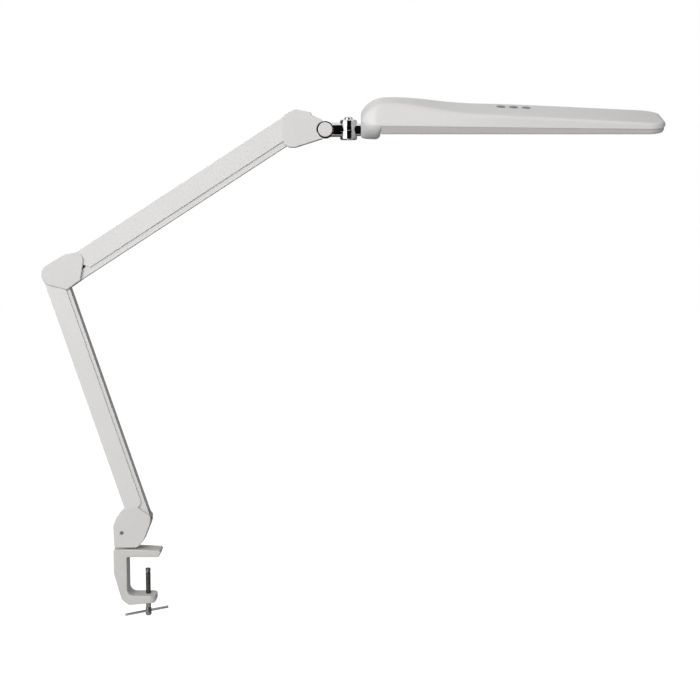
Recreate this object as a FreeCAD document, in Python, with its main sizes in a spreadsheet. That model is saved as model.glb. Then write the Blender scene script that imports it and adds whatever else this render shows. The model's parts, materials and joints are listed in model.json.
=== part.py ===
"""A clamp lamp: desk clamp, swivel base, two parallelogram arms, a three-way joint and a long lamp head.

The origin is on the underside of the clamp's upper jaw, which rests on the desk. +X runs towards the
lamp head, +Y runs away from the side that is seen first, and +Z is up. All sizes are in millimetres.
Each arm is a wide outer channel with a narrower channel nested in it. The outer channel and the inner
one turn on their own pivots, so that they make a parallelogram and the fittings at their ends keep
their direction.
"""
import FreeCAD, Part
import math
import os
import re
import Sketcher

SIZES = {
    # Clamp: a cast C with the desk between its jaws
    "clamp_depth": 36,
    "spine_back": 42.8,
    "throat_back": 21.7,
    "jaw_rise": 12,
    "jaw_reach": 29,
    "jaw_slant": 4,
    "jaw_taper": 1.8,
    "jaw_opening": 63,
    "spine_straight": 26,
    "heel_back": 31,
    "heel_rise": 9,
    "heel_front": 20,
    "heel_drop": 15,
    "lip_reach": 23.4,
    "lip_drop": 11.5,
    "throat_round": 11,
    "heel_round": 9,
    "lip_round": 4.5,
    "lip_plan_round": 11,
    "jaw_round": 2,
    "casting_edge": 1.2,
    # Clamping spindle
    "spindle_x": 9.5,
    "spindle_radius": 4,
    "tip_drop": 22,
    "tip_height": 5,
    "tip_peg_radius": 2,
    "tip_peg_length": 4,
    "spindle_waist": 85,
    "spindle_waist_radius": 3.6,
    "spindle_head_top": 87.5,
    "spindle_head_radius": 4.6,
    "spindle_foot": 99,
    "spindle_foot_bevel": 1.6,
    "tommy_radius": 1.9,
    "tommy_length": 76,
    "tommy_drop": 91.5,
    "tommy_turn": 37,
    "tommy_offset": 3,
    "tommy_bevel": 0.6,
    # Swivel between the clamp and the base
    "swivel_x": 31,
    "swivel_radius": 6,
    "swivel_depth": 22,
    "bush_wall": 1.4,
    "bush_floor": 2,
    "bush_flange_radius": 9.5,
    "bush_flange": 1.2,
    "swivel_flange_radius": 9,
    "stem_radius": 5,
    "stem_height": 17,
    # Pivots of the lower arm on the base, and the arms
    "base_pivot_x": 3,
    "base_pivot_z": 58,
    "arm_reach": 410,
    "lower_lean": 18.4,
    "upper_rise": 32.8,
    "lower_offset": 14,
    "upper_offset": 21.3,
    "elbow_step_x": 34.4,
    "elbow_step_z": 16.1,
    "cover_depth": 26,
    "lower_half": 14.15,
    "upper_half": 15.5,
    "cover_wall": 1.2,
    "cover_lug": 7,
    "lower_cut": 27,
    "upper_cut": 20.8,
    "cut_slope": 4.4,
    "cover_round": 8,
    "bar_depth": 21,
    "bar_half": 6.4,
    "bar_wall": 1,
    "bar_web_start": 16,
    # Pivot pins
    "pin_radius": 3,
    "pin_head_radius": 4.6,
    "pin_head": 0.9,
    "small_pin_radius": 2.5,
    "small_pin_head_radius": 3.8,
    "small_pin_head": 0.8,
    # Balance springs in the arms
    "spring_radius": 4.3,
    "spring_spread": 4.7,
    "spring_start": 46,
    "spring_end": 300,
    "spring_hook_radius": 0.8,
    "spring_anchor_u": 325,
    "spring_anchor_v": 3,
    "anchor_radius": 1.8,
    "anchor_up": 9,
    "anchor_over": 4,
    "anchor_half": 9,
    "anchor_ear": 3.2,
    # Moulded shells over the arm joints
    "shell_half": 16,
    "shell_wall": 1.6,
    "shell_bevel": 1,
    "core_half": 6,
    "core_lug": 7,
    "small_lug": 5,
    "block_half": 14.2,
    "base_left": 42.9,
    "base_floor": 14.8,
    "base_width": 60.1,
    "base_height": 65.6,
    "base_round": 11,
    "elbow_back": 15.6,
    "elbow_drop": 21,
    "elbow_width": 68.4,
    "elbow_height": 60.8,
    "elbow_end_round": 15.5,
    "bracket_back": 16,
    "bracket_drop": 38.5,
    "bracket_width": 60.4,
    "bracket_height": 58.4,
    # Shell screws
    "screw_radius": 1.95,
    "screw_head_radius": 3,
    "screw_head": 0.8,
    "screw_sink": 1,
    "screw_length": 12,
    "screw_boss": 4.2,
    "base_screw_x": 29.2,
    "base_screw_z": 39,
    "elbow_screw_x": 14,
    "elbow_screw_z": 17.5,
    "bracket_screw_x": 21,
    "bracket_screw_z": 3.5,
    # Three-way joint of the head
    "tilt_x": 48.7,
    "tilt_drop": 11.3,
    "eye_radius": 11,
    "eye_room": 13.6,
    "cheek_radius": 13,
    "cheek_outer": 13,
    "washer_thick": 0.8,
    "tilt_bolt_radius": 3,
    "cap_radius": 11.2,
    "cap_height": 3.6,
    "cap_bevel": 0.9,
    "link_radius": 11,
    "drum_x": 36,
    "drum_radius": 13.2,
    "drum_below": 15.5,
    "drum_above": 15.3,
    "drum_bevel": 1.4,
    "seam_drop": 1.3,
    "drum_washer": 0.6,
    "drum_washer_radius": 12,
    "drum_screw_radius": 3,
    "drum_screw_head": 6.6,
    "drum_screw_rise": 5,
    "drum_nut": 4,
    "drum_nut_radius": 5.6,
    "neck_radius": 9.6,
    "neck_length": 6.1,
    "shaft_radius": 6,
    "shaft_length": 24,
    "roll_nut_radius": 8.4,
    "roll_nut": 5,
    "roll_nut_at": 17,
    # Lamp head
    "head_roll": 17,
    "head_length": 469,
    "head_width": 88,
    "head_wall": 2.2,
    "head_tip_round": 30,
    "head_back_round": 26,
    "crown_back_round": 47,
    "crown_round": 520,
    "slope_round": 800,
    "tip_crown_round": 8,
    "chin_foot": 38.6,
    "chin_shoulder": 83.4,
    "chin_shoulder_rise": 8.3,
    "socket_width": 34,
    "socket_length": 30,
    "socket_drop": 10,
    "socket_round": 8.4,
    "rim_floor": 3.6,
    "rim_height_start": 14,
    "rim_height_end": 8.7,
    "rim_draft": 3,
    "rim_wall": 3,
    "seam_gap": 0.4,
    "diffuser_thick": 3,
    "diffuser_lift": 1.5,
    "board_thick": 1.6,
    "sink_thick": 2,
    "strip_start": 46,
    "strip_end": 24,
    "post_radius": 3,
    "driver_length": 90,
    "driver_width": 30,
    "driver_start": 58,
    # Push buttons
    "button_radius": 7,
    "switch_half": 3,
    "switch_height": 2.5,
    "button_travel": 1.2,
    "button_proud": 0.6,
    "button_stem": 3,
    "button_flange": 1.2,
    "button_board_width": 22,
    # Clearances
    "run_fit": 0.05,
    "loose_fit": 0.3,
    "overrun": 2,
}

# Outline points as shares of the width and height of each moulded shell
BASE_SHARES = ((0, 0.55), (0.023, 0), (0.63, 0), (0.80, 0.17), (0.972, 0.569), (1, 0.77), (0.649, 1),
               (0.36, 1), (0.09, 0.76))
ELBOW_SHARES = ((0, 0.169), (0.57, 0), (0.887, 0.247), (1, 1), (0.526, 0.905), (0, 0.549))
BRACKET_SHARES = ((0, 0), (0.30, 0), (1, 0.229), (1, 0.716), (0.743, 0.839), (0.694, 0.92), (0.296, 1),
                  (0, 0.836))
# Lean of the head's sides: share of the length, and sideways per height
HEAD_LEAN_SHARES = ((0, 0.62), (0.13, 0.61), (0.46, 0.25), (1, 0.18))
# Corners of the head's roof: share of the length, and height over the roll axis as a share of its width
PROFILE_SHARES = ((0, 0.295), (0.083, 0.531), (0.115, 0.534), (0.275, 0.435), (0.44, 0.372), (1, 0.227))
# Places along the head as shares of its length
LENGTH_SHARES = {"button_first": 0.4644, "button_pitch": 0.042, "switch_board": 0.14, "post": 0.6}
# Places across the head and heights in it as shares of its width
WIDTH_SHARES = {"crown": 0.386, "button_side": 0.205, "button_roof": 0.3657, "button_fall": 0.01087,
                "button_depth": 0.17, "sink_level": 0.148, "sink_half": 0.409, "strip_side": 0.193,
                "strip_width": 0.295, "driver_height": 0.16}

PLAIN_WORD = re.compile(r"[a-z]\w*")

doc = FreeCAD.newDocument("ClampLamp")
sheet = doc.addObject("Spreadsheet::Sheet", "Sizes")
for row, (alias, amount) in enumerate(SIZES.items(), 1):
    sheet.set("A%d" % row, alias)
    sheet.set("B%d" % row, str(amount))
    sheet.setAlias("B%d" % row, alias)
doc.recompute()
nodes = []


def size(alias):
    """A driving size, as the sheet holds it."""
    return float(sheet.get(alias))


def tied(formula):
    """A formula in plain size names, as an expression that reads the sheet."""
    return PLAIN_WORD.sub(lambda word: "Sizes." + word.group() if word.group() in SIZES else word.group(),
                          str(formula))


def bind(thing, **formulas):
    """Tie properties of a document object to the sheet. A double underscore stands for a dot."""
    for name, formula in formulas.items():
        thing.setExpression(name.replace("__", "."), tied(formula))
    return thing


def put(thing, x=0, y=0, z=0, axis=(0, 1, 0), turn=0):
    """Place an object by formulas: a position, and a turn in degrees about an axis."""
    start = 0 if turn == 0 else 1
    thing.Placement = FreeCAD.Placement(FreeCAD.Vector(), FreeCAD.Rotation(FreeCAD.Vector(*axis), start))
    bind(thing, Placement__Base__x=x, Placement__Base__y=y, Placement__Base__z=z)
    if turn != 0:
        bind(thing, Placement__Rotation__Angle=turn)
    return thing


def node(thing, name):
    """Name a finished sub-part, so that it is written to its own file."""
    thing.Label = name
    nodes.append(thing)
    return thing


def body(name):
    """An empty PartDesign body."""
    return doc.addObject("PartDesign::Body", name)


def sketch_on(owner, role, lift=0):
    """A sketch on one of a body's own origin planes, or lifted off it by a formula."""
    sketch = owner.newObject("Sketcher::SketchObject", "Outline")
    plane = next(f for f in owner.Origin.OriginFeatures if f.Role == role)
    sketch.AttachmentSupport = [(plane, "")]
    sketch.MapMode = "FlatFace"
    if lift != 0:
        bind(sketch, AttachmentOffset__Base__z=lift)
    return sketch


def worth(formula):
    """The number that a formula gives with the sizes as they are."""
    return float(sheet.evalExpression(tied(formula)))


def hold(sketch, formula, *reference):
    """One dimension of a sketch, tied to a formula."""
    index = sketch.addConstraint(Sketcher.Constraint(*reference, worth(formula)))
    sketch.setExpression("Constraints[%d]" % index, tied(formula))


def outline(owner, role, corners, lift=0, arcs=()):
    """A closed sketch, each corner held by two dimensions. Its edges are straight, or arcs.

    An arc is (index of its edge, radius formula, whether it bulges to the left of the way round)."""
    sketch = sketch_on(owner, role, lift)
    count = len(corners)
    ring = [FreeCAD.Vector(worth(across), worth(along), 0) for across, along in corners]
    bends = {index: (radius, leftward) for index, radius, leftward in arcs}
    first = []
    for i in range(count):
        start, end = ring[i], ring[(i + 1) % count]
        leftward = i in bends and bends[i][1]
        first.append(2 if leftward else 1)
        if i in bends:
            across = (end - start) / 2
            left = FreeCAD.Vector(-across.y, across.x, 0).normalize() * (1 if leftward else -1)
            radius = worth(bends[i][0])
            rise = radius - math.sqrt(radius ** 2 - across.Length ** 2)
            sketch.addGeometry(Part.Arc(start, (start + end) / 2 + left * rise, end), False)
        else:
            sketch.addGeometry(Part.LineSegment(start, end), False)
    for i in range(count):
        following = (i + 1) % count
        sketch.addConstraint(Sketcher.Constraint("Coincident", i, 3 - first[i], following, first[following]))
    for i, (across, along) in enumerate(corners):
        hold(sketch, across, "DistanceX", -1, 1, i, first[i])
        hold(sketch, along, "DistanceY", -1, 1, i, first[i])
    for i, (radius, leftward) in bends.items():
        hold(sketch, radius, "Radius", i)
    return sketch


def circles(owner, role, rings, lift=0):
    """A sketch of circles, each given as formulas for its centre and its radius."""
    sketch = sketch_on(owner, role, lift)
    for i, (across, along, radius) in enumerate(rings):
        centre = FreeCAD.Vector(worth(across), worth(along), 0)
        sketch.addGeometry(Part.Circle(centre, FreeCAD.Vector(0, 0, 1), worth(radius)), False)
        hold(sketch, across, "DistanceX", -1, 1, i, 3)
        hold(sketch, along, "DistanceY", -1, 1, i, 3)
        hold(sketch, radius, "Radius", i)
    return sketch


def extrude(kind, owner, profile, length, both=False, back=False):
    """A Pad or Pocket of a sketch, to one side or to both sides of its plane."""
    feature = owner.newObject("PartDesign::" + kind, kind)
    feature.Profile = profile
    bind(feature, Length=length)
    feature.Midplane = both
    feature.Reversed = back
    doc.recompute()
    return feature


def pad(owner, profile, length, both=False, back=False):
    return extrude("Pad", owner, profile, length, both, back)


def pocket(owner, profile, length, both=False, back=False):
    return extrude("Pocket", owner, profile, length, both, back)


def turned(name, profile):
    """A body turned about the vertical axis from a half profile of (radius, height) points."""
    owner = body(name)
    sketch = outline(owner, "XZ_Plane", profile)
    feature = owner.newObject("PartDesign::Revolution", "Turn")
    feature.Profile = sketch
    feature.ReferenceAxis = (sketch, ["V_Axis"])
    feature.Angle = 360
    doc.recompute()
    return owner


def edges_where(shape, test):
    """Names of the edges that pass a test."""
    return ["Edge%d" % (i + 1) for i, edge in enumerate(shape.Edges) if test(edge)]


def ease(owner, kind, amount, test):
    """A Fillet or Chamfer on the edges of the body's last feature that pass a test."""
    base = owner.Tip
    names = edges_where(base.Shape, test)
    if not names:
        raise RuntimeError("no edge to ease on " + owner.Name)
    feature = owner.newObject("PartDesign::" + kind, kind)
    feature.Base = (base, names)
    if kind == "Fillet":
        bind(feature, Radius=amount)
    else:
        bind(feature, Size=amount)
    doc.recompute()
    return feature


def corner_test(sketch, index, direction):
    """A test for the long edge that a sketch's corner draws when it is padded."""
    spot = sketch.Geometry[index].StartPoint
    place = sketch.Placement

    def test(edge):
        if len(edge.Vertexes) != 2:
            return False
        along = edge.Vertexes[1].Point - edge.Vertexes[0].Point
        if along.Length == 0 or abs(along.normalize().dot(direction)) < 0.999:
            return False
        local = place.inverse().multVec(edge.Vertexes[0].Point)
        return math.hypot(local.x - spot.x, local.y - spot.y) < 0.01

    return test


def round_corner(owner, sketch, index, radius, direction=FreeCAD.Vector(0, 1, 0)):
    """Round the edge that stands on one corner of a sketch."""
    return ease(owner, "Fillet", radius, corner_test(sketch, index, direction))


def face_edge_test(axis, level):
    """A test for edges that lie wholly on one level of an axis."""
    low, high = {"x": ("XMin", "XMax"), "y": ("YMin", "YMax"), "z": ("ZMin", "ZMax")}[axis]

    def test(edge):
        box = edge.BoundBox
        return abs(getattr(box, low) - level) < 0.01 and abs(getattr(box, high) - level) < 0.01

    return test


def primitive(kind, name, **formulas):
    """A Part primitive with its sizes tied to the sheet."""
    return bind(doc.addObject("Part::" + kind, name), **formulas)


def rod_y(name, radius, half, x, z):
    """A round rod along Y, centred on the middle plane."""
    rod = primitive("Cylinder", name, Radius=radius, Height="2 * (%s)" % half)
    return put(rod, x, "-(%s)" % half, z, axis=(1, 0, 0), turn=-90)


def rod_z(name, radius, low, high, x=0, y=0):
    """An upright round rod from one height to another."""
    rod = primitive("Cylinder", name, Radius=radius, Height="(%s) - (%s)" % (high, low))
    return put(rod, x, y, low)


def block(name, x, y, z, length, width, height):
    """A box from its lowest corner and its three sizes."""
    return put(primitive("Box", name, Length=length, Width=width, Height=height), x, y, z)


def fuse(name, things):
    joined = doc.addObject("Part::MultiFuse", name)
    joined.Shapes = things
    return joined


def cut(name, base, tool):
    result = doc.addObject("Part::Cut", name)
    result.Base = base
    result.Tool = tool
    return result


def group(name, things):
    """Several separate solids of one kind, kept as one node."""
    kept = doc.addObject("Part::Compound", name)
    kept.Links = things
    return node(kept, name)


# Places in the head and places of the pivots, as formulas
LENGTHS = {name: "(head_length * %s)" % part for name, part in LENGTH_SHARES.items()}
WIDTHS = {name: "(head_width * %s)" % part for name, part in WIDTH_SHARES.items()}
LOWER = ("(-base_pivot_x)", "base_pivot_z")
LOWER_BAR = ("(lower_offset - base_pivot_x)", "base_pivot_z")
ELBOW = ("(-base_pivot_x - arm_reach * sin(lower_lean))", "(base_pivot_z + arm_reach * cos(lower_lean))")
ELBOW_BAR = ("(%s + lower_offset)" % ELBOW[0], ELBOW[1])
UPPER = ("(%s + elbow_step_x)" % ELBOW[0], "(%s + elbow_step_z)" % ELBOW[1])
UPPER_BAR = (UPPER[0], "(%s - upper_offset)" % UPPER[1])
WRIST = ("(%s + arm_reach * cos(upper_rise))" % UPPER[0], "(%s + arm_reach * sin(upper_rise))" % UPPER[1])
WRIST_BAR = (WRIST[0], "(%s - upper_offset)" % WRIST[1])
TILT = ("(%s + tilt_x)" % WRIST[0], "(%s - tilt_drop)" % WRIST[1])
DRUM_X = "(%s + drum_x)" % TILT[0]
HEAD_X = "(%s + drum_radius + neck_length)" % DRUM_X
SEAM_Z = "(%s - seam_drop)" % TILT[1]


def clamp_frame():
    """The cast C: spine, upper jaw on the desk, lower jaw with the thread of the spindle."""
    owner = body("ClampFrame")
    sketch = outline(owner, "XZ_Plane", (
        ("-spine_back", "jaw_rise"),
        ("-spine_back", "-spine_straight"),
        ("-heel_back", "-(jaw_opening + heel_drop - heel_rise)"),
        ("-heel_front", "-(jaw_opening + heel_drop)"),
        ("lip_reach", "-(jaw_opening + lip_drop)"),
        ("lip_reach", "-jaw_opening"),
        ("-throat_back", "-jaw_opening"),
        ("-throat_back", "0"),
        ("jaw_reach", "0"),
        ("jaw_reach + jaw_slant", "jaw_rise - jaw_taper"),
        ("0", "jaw_rise"),
    ))
    pad(owner, sketch, "clamp_depth", both=True)
    for index, radius in ((0, "jaw_round"), (2, "heel_round"), (3, "heel_round"), (4, "lip_round"),
                          (5, "lip_round / 2"), (6, "throat_round"), (7, "jaw_round"),
                          (8, "jaw_round / 2"), (9, "1.5 * jaw_round")):
        round_corner(owner, sketch, index, radius)
    side = size("clamp_depth") / 2
    ease(owner, "Fillet", "casting_edge",
         lambda edge: face_edge_test("y", -side)(edge) or face_edge_test("y", side)(edge))
    for side, leftward in (("", True), ("-", False)):
        pocket(owner, outline(owner, "XY_Plane", (
            ("lip_reach - lip_plan_round", side + "(clamp_depth / 2)"),
            ("lip_reach", side + "(clamp_depth / 2 - lip_plan_round)"),
            ("lip_reach + overrun", side + "(clamp_depth / 2 - lip_plan_round)"),
            ("lip_reach + overrun", side + "(clamp_depth / 2 + overrun)"),
            ("lip_reach - lip_plan_round", side + "(clamp_depth / 2 + overrun)")),
            "-(jaw_opening - overrun)", arcs=((0, "lip_plan_round", leftward),)), "heel_drop + 2 * overrun")
    pocket(owner, circles(owner, "XY_Plane", (("spindle_x", "0", "spindle_radius + run_fit"),),
                          "-(jaw_opening - overrun)"), "heel_drop + 2 * overrun")
    pocket(owner, circles(owner, "XY_Plane", (("-swivel_x", "0", "swivel_radius + run_fit + bush_wall"),),
                          "jaw_rise"), "swivel_depth + jaw_rise + bush_floor")
    return node(owner, "clamp_frame")


def spindle_parts():
    """The screw with its turned head, the tip that bears on the desk, and the bar that turns it."""
    screw = turned("Spindle", (
        ("0", "-spindle_foot"), ("spindle_head_radius", "-spindle_foot"),
        ("spindle_head_radius", "-spindle_head_top"), ("spindle_waist_radius", "-spindle_waist"),
        ("spindle_radius", "-(spindle_waist - overrun)"),
        ("spindle_radius", "-(tip_drop + tip_height)"),
        ("tip_peg_radius + run_fit", "-(tip_drop + tip_height)"),
        ("tip_peg_radius + run_fit", "-(tip_drop + tip_height + tip_peg_length + loose_fit)"),
        ("0", "-(tip_drop + tip_height + tip_peg_length + loose_fit)"),
    ))
    ease(screw, "Chamfer", "spindle_foot_bevel", face_edge_test("z", -size("spindle_foot")))
    pocket(screw, circles(screw, "XZ_Plane", (("0", "-tommy_drop", "tommy_radius + run_fit"),)),
           "4 * spindle_head_radius", both=True)
    put(screw, "spindle_x", axis=(0, 0, 1), turn="tommy_turn + 90")
    node(screw, "spindle")
    tip = turned("SpindleTip", (
        ("0", "-(tip_drop + tip_height + tip_peg_length)"),
        ("tip_peg_radius", "-(tip_drop + tip_height + tip_peg_length)"),
        ("tip_peg_radius", "-(tip_drop + tip_height)"), ("spindle_radius", "-(tip_drop + tip_height)"),
        ("spindle_radius", "-tip_drop"), ("0", "-tip_drop"),
    ))
    put(tip, "spindle_x")
    node(tip, "spindle_tip")
    half = "(tommy_length / 2)"
    bar = turned("TommyBar", (
        ("0", "-" + half), ("tommy_radius", "-" + half), ("tommy_radius", half), ("0", half),
    ))
    reach = size("tommy_length") / 2
    ease(bar, "Chamfer", "tommy_bevel",
         lambda edge: face_edge_test("z", reach)(edge) or face_edge_test("z", -reach)(edge))
    bar.Placement = FreeCAD.Placement(FreeCAD.Vector(), FreeCAD.Rotation(size("tommy_turn"), 90, 0))
    bind(bar, Placement__Base__x="spindle_x - tommy_offset * cos(tommy_turn)",
         Placement__Base__y="-tommy_offset * sin(tommy_turn)", Placement__Base__z="-tommy_drop")
    node(bar, "tommy_bar")


def swivel_parts():
    """The plastic bush in the clamp's socket, and the steel pin that turns in it."""
    bore = "(swivel_radius + run_fit)"
    wall = "(swivel_radius + run_fit + bush_wall)"
    bottom = "-(swivel_depth + bush_floor)"
    bush = turned("SocketBush", (
        (bore, bottom), (wall, bottom), (wall, "jaw_rise"), ("bush_flange_radius", "jaw_rise"),
        ("bush_flange_radius", "jaw_rise + bush_flange"), (bore, "jaw_rise + bush_flange"),
    ))
    put(bush, "-swivel_x")
    node(bush, "socket_bush")
    seat = "(jaw_rise + bush_flange + run_fit)"
    top = "(base_floor - run_fit)"
    pin = turned("SwivelPin", (
        ("0", "-swivel_depth"), ("swivel_radius", "-swivel_depth"), ("swivel_radius", seat),
        ("swivel_flange_radius", seat), ("swivel_flange_radius", top), ("stem_radius", top),
        ("stem_radius", "base_floor + stem_height"), ("0", "base_floor + stem_height"),
    ))
    ease(pin, "Chamfer", "screw_head", face_edge_test("z", -size("swivel_depth")))
    put(pin, "-swivel_x")
    node(pin, "swivel_pin")


def cover_channel(name, half, cut_at, place, turn):
    """An arm's outer channel: open below, its side walls cut back at the lower end."""
    owner = body(name.title().replace("_", ""))
    sketch = outline(owner, "XZ_Plane", (
        ("-cover_lug", "-cover_lug"),
        ("%s - cut_slope - cover_lug / 3" % cut_at, "-cover_lug"),
        (cut_at, "-" + half),
        ("arm_reach + cover_lug", "-" + half),
        ("arm_reach + cover_lug", half),
        ("-cover_lug", half),
    ))
    pad(owner, sketch, "cover_depth", both=True)
    for index in (0, 3, 4, 5):
        radius = "cover_round" if index else "cover_lug - run_fit"
        round_corner(owner, sketch, index, radius)
    inner = "(cover_depth / 2 - cover_wall)"
    pocket(owner, outline(owner, "XY_Plane", (
        ("-3 * cover_lug", "-" + inner), ("arm_reach + 3 * cover_lug", "-" + inner),
        ("arm_reach + 3 * cover_lug", inner), ("-3 * cover_lug", inner)),
        "%s - cover_wall" % half), "2 * %s" % half)
    hole = "pin_radius + run_fit"
    pocket(owner, circles(owner, "XZ_Plane", (("0", "0", hole), ("arm_reach", "0", hole),
                                              ("spring_anchor_u", "spring_anchor_v", "anchor_radius"))),
           "2 * cover_depth", both=True)
    put(owner, place[0], 0, place[1], turn=turn)
    return node(owner, name)


def inner_bar(name, place, turn):
    """An arm's inner channel, which closes the open side of the outer one."""
    owner = body(name.title().replace("_", ""))
    sketch = outline(owner, "XZ_Plane", (
        ("-bar_half", "-bar_half"), ("arm_reach + bar_half", "-bar_half"),
        ("arm_reach + bar_half", "bar_half"), ("-bar_half", "bar_half")))
    pad(owner, sketch, "bar_depth", both=True)
    for index in range(4):
        round_corner(owner, sketch, index, "bar_half - run_fit")
    inner = "(bar_depth / 2 - bar_wall)"
    far = "(arm_reach + 3 * bar_half)"
    pocket(owner, outline(owner, "XY_Plane", (
        ("-3 * bar_half", "-" + inner), (far, "-" + inner), (far, inner), ("-3 * bar_half", inner)),
        "bar_wall - bar_half"), "3 * bar_half", back=True)
    for near, end in (("-3 * bar_half", "bar_web_start"), ("arm_reach - bar_web_start", far)):
        pocket(owner, outline(owner, "XY_Plane", (
            (near, "-" + inner), (end, "-" + inner), (end, inner), (near, inner))),
            "4 * bar_half", both=True)
    hole = "small_pin_radius + run_fit"
    pocket(owner, circles(owner, "XZ_Plane", (("0", "0", hole), ("arm_reach", "0", hole))),
           "2 * bar_depth", both=True)
    put(owner, place[0], 0, place[1], turn=turn)
    return node(owner, name)


def headed_pin(name, radius, head_radius, head, reach, place):
    """A pivot pin along Y with a flat head at each end, outside the walls that it carries."""
    pin = turned(name, (
        ("0", "-(%s + %s)" % (reach, head)), (head_radius, "-(%s + %s)" % (reach, head)),
        (head_radius, "-(%s)" % reach), (radius, "-(%s)" % reach), (radius, reach),
        (head_radius, reach), (head_radius, "%s + %s" % (reach, head)), ("0", "%s + %s" % (reach, head)),
    ))
    return put(pin, place[0], 0, place[1], axis=(1, 0, 0), turn=90)


def main_pin(name, place):
    return headed_pin(name, "pin_radius", "pin_head_radius", "pin_head", "cover_depth / 2 + run_fit", place)


def bar_pin(name, place):
    return headed_pin(name, "small_pin_radius", "small_pin_head_radius", "small_pin_head",
                      "bar_depth / 2 + run_fit", place)


def pivot_pins():
    """The pins of each fitting, kept together as one node of separate pins."""
    group("base_pivot_pins", [main_pin("BasePin", LOWER), bar_pin("BaseBarPin", LOWER_BAR)])
    group("elbow_pivot_pins", [main_pin("ElbowPin", ELBOW), bar_pin("ElbowBarPin", ELBOW_BAR),
                               main_pin("UpperPin", UPPER), bar_pin("UpperBarPin", UPPER_BAR)])
    group("bracket_pivot_pins", [main_pin("WristPin", WRIST), bar_pin("WristBarPin", WRIST_BAR)])


def core(name, webs, lugs, holes):
    """A cast core plate between the arm channels: its webs, a round lug at each pivot, and the holes."""
    owner = body(name.title().replace("_", ""))
    for web in webs:
        pad(owner, outline(owner, "XZ_Plane", web), "2 * core_half", both=True)
    for across, along, radius in lugs:
        pad(owner, circles(owner, "XZ_Plane", ((across, along, radius),)), "2 * core_half", both=True)
    pocket(owner, circles(owner, "XZ_Plane", holes), "4 * core_half", both=True)
    return owner


def screw_boss(owner, spot):
    """A round boss on a core that reaches both shells, bored for their screws."""
    pad(owner, circles(owner, "XZ_Plane", ((spot[0], spot[1], "screw_boss"),)), "2 * block_half", both=True)
    pocket(owner, circles(owner, "XZ_Plane", ((spot[0], spot[1], "screw_radius + run_fit"),)),
           "4 * block_half", both=True)


def shell(name, front, left, floor, width, height, shares, rounds, windows, screw=None, bore=None):
    """One moulded half: a plate with an eased rim, hollow towards the middle plane.

    The windows are outlines where the rim is cut away to let the arms or the joint move."""
    owner = body(name.title().replace("_", ""))
    sketch = outline(owner, "XZ_Plane", [("%s + %s * %s" % (left, width, across),
                                          "%s + %s * %s" % (floor, height, along))
                                         for across, along in shares])
    pad(owner, sketch, "shell_half", back=not front)
    for index, radius in rounds:
        round_corner(owner, sketch, index, radius)
    side = -size("shell_half") if front else size("shell_half")
    ease(owner, "Chamfer", "shell_bevel", face_edge_test("y", side))
    opening = ["Face%d" % (i + 1) for i, face in enumerate(owner.Tip.Shape.Faces)
               if abs(face.BoundBox.YMin) < 0.01 and abs(face.BoundBox.YMax) < 0.01]
    solid = owner.Tip
    hollow = owner.newObject("PartDesign::Thickness", "Hollow")
    hollow.Base = (solid, opening)
    bind(hollow, Value="shell_wall")
    hollow.Reversed = True
    doc.recompute()
    for window in windows:
        pocket(owner, outline(owner, "XZ_Plane", window), "shell_half - shell_wall", back=front)
    if screw:
        pocket(owner, circles(owner, "XZ_Plane", ((screw[0], screw[1], "screw_radius + loose_fit / 2"),)),
               "2 * shell_half", back=front)
        lift = "shell_half" if front else "-shell_half"
        pocket(owner, circles(owner, "XZ_Plane", (
            (screw[0], screw[1], "screw_head_radius + loose_fit / 2"),), lift), "screw_sink", back=not front)
    if bore:
        pocket(owner, bore(owner), "shell_half", both=True)
    return node(owner, name)


def shell_screw(name, front, spot, length):
    """A countersunk-in screw along Y: a flat head below the shell's face and a plain shank."""
    top = "(shell_half - screw_sink + run_fit)"
    screw = turned(name, (
        ("0", "%s - %s" % (top, length)), ("screw_radius", "%s - %s" % (top, length)),
        ("screw_radius", top), ("screw_head_radius", top),
        ("screw_head_radius", "%s + screw_head" % top), ("0", "%s + screw_head" % top),
    ))
    return put(screw, spot[0], 0, spot[1], axis=(1, 0, 0), turn="90" if front else "-90")


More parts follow.
